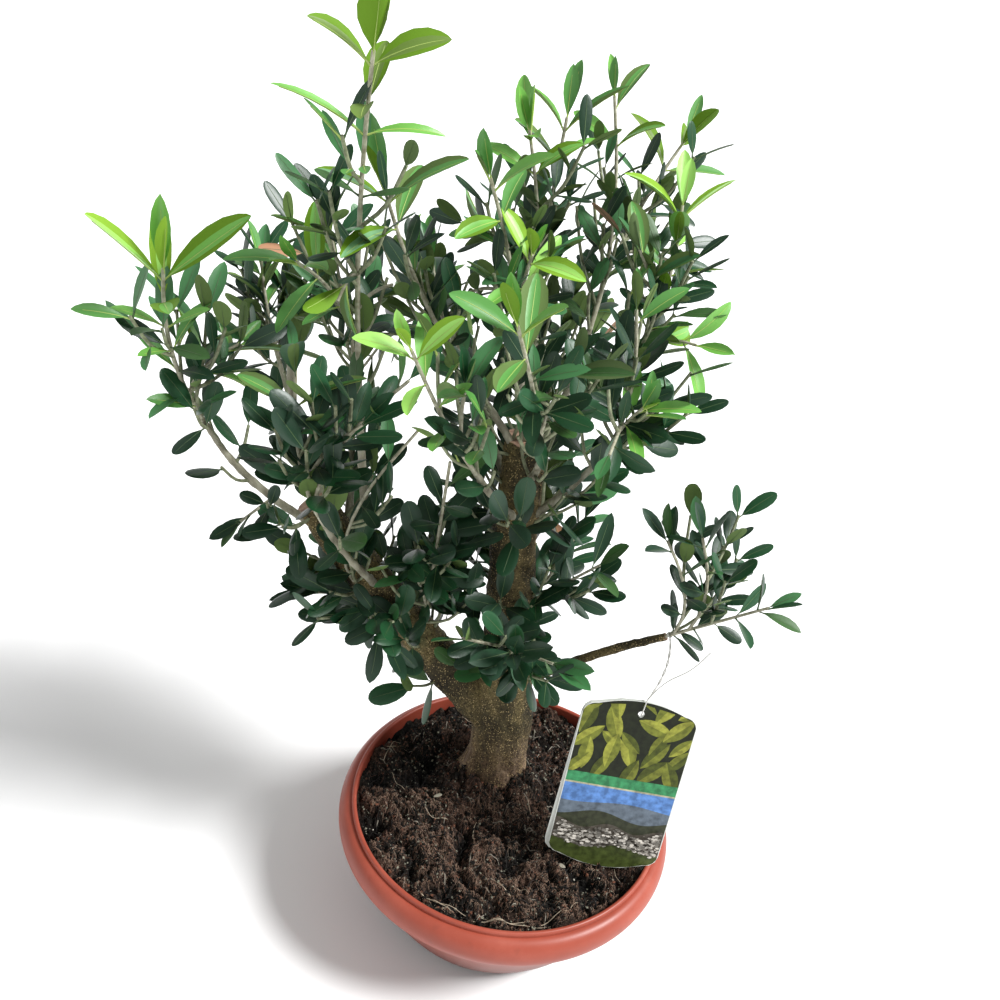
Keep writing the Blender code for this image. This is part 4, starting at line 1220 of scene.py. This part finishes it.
def spur_shoots(paths, radii):
    """Short leafy shoots straight from the thick wood."""
    shoots = []
    for carrier, span, count in SPURS:
        chance = random.Random("spurs %s %.2f" % (carrier, span[0]))
        for _ in range(count):
            start, tangent = point_along(paths[carrier], mix(span, chance.random()))
            aim = side_direction(tangent, chance.uniform(0, 360), chance.uniform(*SPUR_SPREAD))
            thick = trunk_radius(0.5) if carrier == "trunk" else radii[carrier][0]
            reach = thick + chance.uniform(*SPUR_LENGTH)
            tip = start + (aim + UP * SPUR_UP).normalized() * reach
            path = shoot_path(start + aim * 0.8 * thick, aim, tip, SIDE_STEPS)
            # the spurs' dark tints partly paint the shade inside the crown
            shoots.append(Shoot(path, (SIDE_RADIUS, SHOOT_TIP_RADIUS), False,
                                chance.choice(("dark", "dark", "deep"))))
    return shoots


def crown_shoots(plans, paths, radii, space):
    """Every leafy shoot with the mass that it belongs to."""
    shoots = []
    for name, leaders in plans.items():
        mass = MASSES[name]
        shoots += [(name, leader) for leader in leaders]
        for index, leader in enumerate(leaders):
            kinds = [("side", (SIDE_FIRST, SIDE_LAST), SIDE_STEP, SIDE_LENGTH)]
            if name not in SPARSE:
                kinds.append(("fine", FINE_SPAN, FINE_STEP, FINE_LENGTH))
            for kind, span, step, lengths in kinds:
                seed = "%s %s %d" % (name, kind, index)
                shoots += [(name, shoot) for shoot in side_shoots(leader, seed, span, step, lengths)]
        if mass.along == 1.0:
            bough = Shoot(paths[mass.carrier], radii[mass.carrier], True, "mid")
            extra = side_shoots(bough, "%s bough" % name, BOUGH_SPAN, BOUGH_STEP, BOUGH_LENGTH)
            shoots += [(name, shoot) for shoot in extra]
    shoots += [(None, shoot) for shoot in spur_shoots(paths, radii)]
    return [(name, shoot) for name, shoot in shoots
            if shoot.leading or space.free(name, shoot.path[-1])]


def build_crown(paths, radii):
    """Twigs and leaves, each kind joined into one piece."""
    plans = {name: plan_mass(mass, paths) for name, mass in MASSES.items()}
    space = Space(plans, paths, radii)
    twigs = {True: Pile(), False: Pile()}
    blades = defaultdict(lambda: (Pile(), Pile()))
    ribs = defaultdict(Pile)
    for index, (name, shoot) in enumerate(crown_shoots(plans, paths, radii, space)):
        path = smooth_path(shoot.path, 3)
        sizes = [TWIG_SHARE * mix(shoot.radii, share) for share in even_shares(len(path) - 1)]
        rows = tube_rows(path, sizes, TWIG_SIDES)
        twigs[shoot.leading].rows(rows, closed=True)
        twigs[shoot.leading].fan(rows[-1], path[-1])
        for leaf in shoot_leaves(shoot, name, space, "%s leaves %d" % (name, index)):
            add_blade(leaf, *blades[leaf.tint])
            add_rib(leaf, ribs[TINTS[leaf.tint].rib])
    for tint, (uppers, lowers) in sorted(blades.items()):
        look = TINTS[tint]
        shine = LEAF_SHINE + min(look.upper[1], LEAF_SHINE)
        upper = leaf_material("leaf_%s" % tint, look.upper, look.roughness, 0.0003, shine)
        lower = leaf_material("underside_%s" % tint, look.lower, UNDERSIDE_ROUGHNESS, 0.0002,
                              UNDERSIDE_SHINE)
        uppers.piece("leaves_%s" % tint, upper, "foliage")
        lowers.piece("undersides_%s" % tint, lower, "foliage")
    for kind, pile in sorted(ribs.items()):
        pile.piece(kind, new_material(kind, RIB_COLOURS[kind], 0.5), "foliage")
    pale = twig_material("twig_pale", (0.42, 0.41, 0.31), (0.22, 0.21, 0.14))
    green = twig_material("twig_green", (0.27, 0.30, 0.18), (0.13, 0.14, 0.08))
    leading = twigs[True].piece("leading_shoots", pale, "foliage")
    twigs[False].piece("side_shoots", green, "foliage")
    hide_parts(*MASSES)


# ---------------------------------------------------------------- picture card
def card_frame():
    """Where the hanging card is, and how it is turned."""
    yaw = Matrix.Rotation(math.radians(CARD_YAW), 4, "Z")
    lean = Matrix.Rotation(math.radians(90.0 - CARD_LEAN_BACK), 4, "X")
    side = Matrix.Rotation(math.radians(-CARD_LEAN_SIDE), 4, "Z")
    return Matrix.Translation(CARD_CENTRE) @ (yaw @ lean @ side)


def card_edge(across):
    """Height of the card's top edge above its middle."""
    half_width = 0.5 * CARD_WIDTH
    straight = half_width - CARD_CORNER
    shoulder = 0.5 * CARD_HEIGHT - CARD_ARCH
    if abs(across) > straight:
        over = min(abs(across) - straight, CARD_CORNER)
        return shoulder - CARD_CORNER + math.sqrt(CARD_CORNER ** 2 - over ** 2)
    return shoulder + CARD_ARCH * (1.0 - (across / straight) ** 2)


PRINT_BANDS = (
    # name, colour, lower edge, and the depth, count and shift of its waves
    ("card_hill", (0.050, 0.068, 0.016), -0.080, 0.0, 0.0, 0.0),
    ("card_stones", (0.075, 0.065, 0.052), -0.056, 0.0025, 1.6, 0.4),
    ("card_wood", (0.030, 0.034, 0.018), -0.038, 0.0030, 2.1, 1.7),
    ("card_dusk", (0.095, 0.120, 0.150), -0.028, 0.0035, 1.3, 2.6),
    ("card_sky", (0.085, 0.190, 0.440), -0.017, 0.0020, 1.0, 0.9),
    ("card_line", (0.340, 0.330, 0.220), -0.0030, 0.0, 0.0, 0.0),
    ("card_stripe", (0.035, 0.200, 0.080), -0.0015, 0.0, 0.0, 0.0),
)
PANEL_BASE = 0.0075             # where the leaf picture begins
PANEL_COLOUR = (0.010, 0.013, 0.005)
PRINT_MARGIN = 0.0007
PRINT_STEP = 0.00001            # one motif lies this far above the last
OUTLINE_COLUMNS = 60
BAND_COLUMNS = 88
HOLE_RING = 0.0015
MOTIF_ROWS = 5
MOTIF_COLUMNS = 5
MOTIF_LENGTH = (0.023, 0.031)
MOTIF_BROAD = (0.34, 0.42)
MOTIF_COLOURS = {
    "card_leaf_light": (0.230, 0.240, 0.036),
    "card_leaf_mid": (0.130, 0.145, 0.020),
    "card_leaf_deep": (0.055, 0.068, 0.009),
}
STONE_COUNT = 460
STONE_SIZE = (0.0006, 0.0021)
STONE_COLOURS = {"card_pebble": (0.50, 0.47, 0.42), "card_pebble_grey": (0.16, 0.15, 0.13)}


def print_line(base, depth, waves, shift, across):
    return base + depth * math.sin(waves * 2 * math.pi * across / CARD_WIDTH + shift)


def print_rim(columns):
    """Places across the print, each with the height of its top edge."""
    rim = []
    for share in even_shares(columns):
        across = (share - 0.5) * (CARD_WIDTH - 2 * PRINT_MARGIN)
        rim.append((across, card_edge(across * CARD_WIDTH / (CARD_WIDTH - PRINT_MARGIN)) - PRINT_MARGIN))
    return rim


def card_outline(low, high):
    """The print's convex outline between two heights, anticlockwise."""
    rim = print_rim(OUTLINE_COLUMNS)
    bottom = [Vector((across, max(-edge, low))) for across, edge in rim]
    top = [Vector((across, min(edge, high))) for across, edge in reversed(rim)]
    return bottom + top


def clipped(points, outline):
    """The part of a flat shape inside a convex outline."""
    for start, end in zip(outline, outline[1:] + outline[:1]):
        side = end - start
        if side.length < 1e-7:
            continue
        kept = []
        for before, point in zip(points[-1:] + points[:-1], points):
            old = side.cross(before - start)
            new = side.cross(point - start)
            if (old < 0.0) != (new < 0.0):
                kept.append(before.lerp(point, old / (old - new)))
            if new >= 0.0:
                kept.append(point)
        points = kept
        if len(points) < 3:
            return []
    return points


class Print:
    """Flat coloured shapes on the card's face, each above the last."""

    def __init__(self):
        self.world = card_frame()
        self.height = 0.5 * CARD_THICKNESS + PRINT_RAISE
        self.piles = defaultdict(Pile)

    def spot(self, point):
        return self.world @ Vector((point.x, point.y, self.height))

    def rows(self, colour, rows, closed=False):
        self.piles[colour].rows([[self.spot(point) for point in row] for row in rows], closed)

    def shape(self, colour, points):
        if points:
            centre = sum(points, Vector((0.0, 0.0))) / len(points)
            self.piles[colour].fan([self.spot(point) for point in points], self.spot(centre))

    def raise_up(self):
        self.height += PRINT_STEP


def leaf_motif(chance, place):
    """Outlines of a leaf's two halves."""
    turn = math.radians(chance.uniform(15, 165) + 180 * chance.choice((0, 1)))
    length = chance.uniform(*MOTIF_LENGTH)
    broad = length * chance.uniform(*MOTIF_BROAD)
    along = Vector((math.cos(turn), math.sin(turn)))
    across = Vector((-along.y, along.x))
    start = place - along * 0.5 * length
    middle = [start + along * length * share for share in even_shares(8)]
    halves = []
    for side in (1, -1):
        edge = [point + across * side * 0.5 * broad * math.sin(math.pi * share) ** 0.8
                for share, point in zip(even_shares(8), middle)]
        half = edge + middle[-2:0:-1]
        halves.append(half if side < 0 else half[::-1])
    return halves


def print_leaves(sheet, panel, hole):
    """Large scattered leaves, the lighter half of each towards the top."""
    chance = random.Random("leaf picture")
    low, high = PANEL_BASE, 0.5 * CARD_HEIGHT
    spots = [(column, row) for row in range(MOTIF_ROWS) for column in range(MOTIF_COLUMNS)]
    chance.shuffle(spots)
    names = list(MOTIF_COLOURS)
    for column, row in spots:
        x = ((column + 0.5 + chance.uniform(-0.25, 0.25)) / MOTIF_COLUMNS - 0.5) * CARD_WIDTH
        y = low + (row + 0.5 + chance.uniform(-0.25, 0.25)) * (high - low) / MOTIF_ROWS
        shade = chance.choice((0, 0, 1))
        sheet.raise_up()
        for half, extra in zip(leaf_motif(chance, Vector((x, y))), (0, 1)):
            shape = clipped(half, panel)
            if all((point - hole).length > HOLE_RADIUS + HOLE_RING for point in shape):
                sheet.shape(names[shade + extra], shape)


def print_stones(sheet):
    """Pale pebbles along the lower wavy band."""
    chance = random.Random("pebbles")
    low = PRINT_BANDS[1][2:]
    high = PRINT_BANDS[2][2:]
    for _ in range(STONE_COUNT):
        x = chance.uniform(-0.47, 0.47) * CARD_WIDTH
        y = mix((print_line(*low, x) + 0.002, print_line(*high, x) - 0.001), chance.random())
        size = chance.uniform(*STONE_SIZE)
        corners = chance.randint(5, 8)
        ring = []
        for step in range(corners):
            right, up = circle(size, step / corners)
            ring.append(Vector((x + right * chance.uniform(0.8, 1.3), y + 0.6 * up)))
        sheet.raise_up()
        sheet.shape(chance.choice(sorted(STONE_COLOURS)), clipped(ring, card_outline(-1.0, 1.0)))


def print_bands(sheet):
    """The plain bands, each from its own line up to the next band's."""
    lines = [band[2:] for band in PRINT_BANDS] + [(PANEL_BASE, 0.0, 0.0, 0.0)]
    for (name, *_), low, high in zip(PRINT_BANDS, lines, lines[1:]):
        sheet.rows(name, [[Vector((across, max(print_line(*line, across), -edge)))
                           for across, edge in print_rim(BAND_COLUMNS)] for line in (low, high)])


def print_material(name, colour):
    """Ink that is a little uneven."""
    made = new_material(name, colour, 0.45, Specular_IOR_Level=0.2)
    light = tuple(1.35 * part for part in colour)
    dark = tuple(0.65 * part for part in colour)
    paint(made, ramp(made, cloud(made, 220.0, 6.0), ((0.35, dark), (0.5, colour), (0.68, light))))
    return made


def build_card():
    """White card with a print of leaves over wavy bands."""
    white = new_material("card_white", (0.60, 0.62, 0.58), 0.35)
    for name in ("label_card", "label_back"):
        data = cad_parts[name].data
        data.materials.clear()
        data.materials.append(white)
    sheet = Print()
    print_bands(sheet)
    hole = Vector((0.0, 0.5 * CARD_HEIGHT - HOLE_DOWN))
    panel = card_outline(PANEL_BASE, 1.0)
    ring = [hole + (point - hole).normalized() * HOLE_RADIUS for point in panel]
    sheet.rows("card_panel", [ring, panel], closed=True)
    print_leaves(sheet, panel, hole)
    print_stones(sheet)
    colours = {name: colour for name, colour, *_ in PRINT_BANDS}
    colours.update(MOTIF_COLOURS, card_panel=PANEL_COLOUR, **STONE_COLOURS)
    for name, pile in sorted(sheet.piles.items()):
        pile.piece(name, print_material(name, colours[name]), "card", smooth=False)


# ---------------------------------------------------------------- string
STRING_RADIUS = 0.00048
STRING_TWIST = 0.0011           # distance between its two strands
STRING_TURNS = 3.5
STRING_PROUD = 0.0012           # how far it stands off the card
STRING_EDGE = 0.013             # how far above the hole it leaves the card
LOOP_TURNS = 2
LOOP_PITCH = 3.2                # the loops' width, in radii
STRING_SLACK = Vector((0.010, -0.002, 0.0))
TAIL_END = Vector((0.0350, 0.0, 0.0530))        # the loose end, from where it leaves the string


def strands(path, turns):
    """Two strands that wind round a path and meet at its ends."""
    pair = ([], [])
    for share, place, (_, side, other) in zip(even_shares(len(path) - 1), path, frames_along(path)):
        reach = 0.5 * STRING_TWIST * math.sin(math.pi * share) ** 0.5
        spread = around(side, other, turns * share) * reach
        pair[0].append(place + spread)
        pair[1].append(place - spread)
    return pair


def build_string(branch):
    """The white string: twice round the shoot, down to the hole, and a loose tail."""
    world = card_frame()
    hole_height = 0.5 * CARD_HEIGHT - HOLE_DOWN
    proud = 0.5 * CARD_THICKNESS + STRING_PROUD
    hole = world @ Vector((0.0, hole_height, proud))
    edge = world @ Vector((0.001, hole_height + STRING_EDGE, proud + 0.0004))
    centre, tangent = point_along(branch.path, TIE_ALONG)
    size = TWIG_SHARE * mix(branch.radii, TIE_ALONG) + STRING_RADIUS
    side = tangent.cross(UP).normalized()
    other = side.cross(tangent)
    loop = [centre + around(side, other, LOOP_TURNS * share) * size
            + tangent * (share - 0.5) * LOOP_PITCH * STRING_RADIUS for share in even_shares(24)]
    slack = loop[-1].lerp(edge, 0.42) + STRING_SLACK
    down = [loop[-1].lerp(slack, share).lerp(slack.lerp(edge, share), share)
            for share in even_shares(40)[1:]]
    into = world @ Vector((0.0, hole_height, -0.0006))
    tail = []
    for share in even_shares(14):
        wave = Vector((0.0, 0.002 * math.sin(7.0 * share), 0.0022 * math.sin(5.0 * share)))
        tail.append(edge + TAIL_END * share + wave)
    pile = Pile()
    first, second = strands(down, STRING_TURNS)
    for path in (loop + [loop[-1]], first, second, [down[-1], hole, into], tail):
        path = [point for index, point in enumerate(path) if not index or point != path[index - 1]]
        path = smooth_path(path, 2)
        pile.rows(tube_rows(path, [STRING_RADIUS] * len(path), 6), closed=True)
    # the string is white; its grey colour is painted shade
    string = pile.piece("card_string", new_material("string", (0.58, 0.57, 0.54), 0.8), "cord")
    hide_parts("label_tie")


# ---------------------------------------------------------------- stage
def build_stage():
    """The pale floor, the white sky and the soft lights."""
    bpy.ops.mesh.primitive_plane_add(size=FLOOR_SIZE)
    floor = bpy.context.object
    floor.name = "floor"
    floor.data.materials.append(new_material("floor", FLOOR_COLOUR, 0.9))
    world = bpy.data.worlds.new("studio")
    world.use_nodes = True
    sky = world.node_tree.nodes["Background"]
    sky.inputs["Color"].default_value = (1.0, 1.0, 1.0, 1.0)
    sky.inputs["Strength"].default_value = SKY_STRENGTH
    bpy.context.scene.world = world
    bpy.context.scene.view_settings.view_transform = "Standard"
    for name, place, spread, strength in LIGHTS:
        light = bpy.data.lights.new(name, "SUN")
        light.angle = math.radians(spread)
        light.energy = strength
        item = bpy.data.objects.new(name, light)
        item.location = place
        item.rotation_euler = (-Vector(place)).to_track_quat("-Z", "Y").to_euler()
        bpy.context.scene.collection.objects.link(item)


def build_camera():
    """A camera that looks down at the front, rolled a little."""
    camera = bpy.data.cameras.new("camera")
    camera.sensor_width = SENSOR_WIDTH
    camera.lens = CAMERA_LENS
    camera.clip_end = FLOOR_SIZE
    item = bpy.data.objects.new("camera", camera)
    bpy.context.scene.collection.objects.link(item)
    pitch = math.radians(CAMERA_PITCH)
    roll = math.radians(CAMERA_ROLL)
    forward = Vector((0.0, math.cos(pitch), -math.sin(pitch)))
    level = Vector((1.0, 0.0, 0.0))
    upright = level.cross(forward)
    right = level * math.cos(roll) + upright * math.sin(roll)
    upward = upright * math.cos(roll) - level * math.sin(roll)
    place = Matrix((right, upward, -forward)).transposed().to_4x4()
    place.translation = CAMERA_PLACE
    item.matrix_world = place
    bpy.context.scene.camera = item


def build():
    build_camera()
    build_stage()
    paths = {"trunk": trunk_path()}
    radii = {"trunk": TRUNK_RADII}
    for name, limb in LIMBS.items():
        start, _ = point_along(paths[limb.carrier], limb.along)
        paths[name] = limb_path(limb, start)
        radii[name] = limb.radii
    build_pot()
    build_soil()
    build_crumbs()
    build_strands()
    build_litter()
    build_wood(paths, radii)
    build_crown(paths, radii)
    build_card()
    build_string(plan_mass(MASSES["foliage_right_low"], paths)[0])


build()
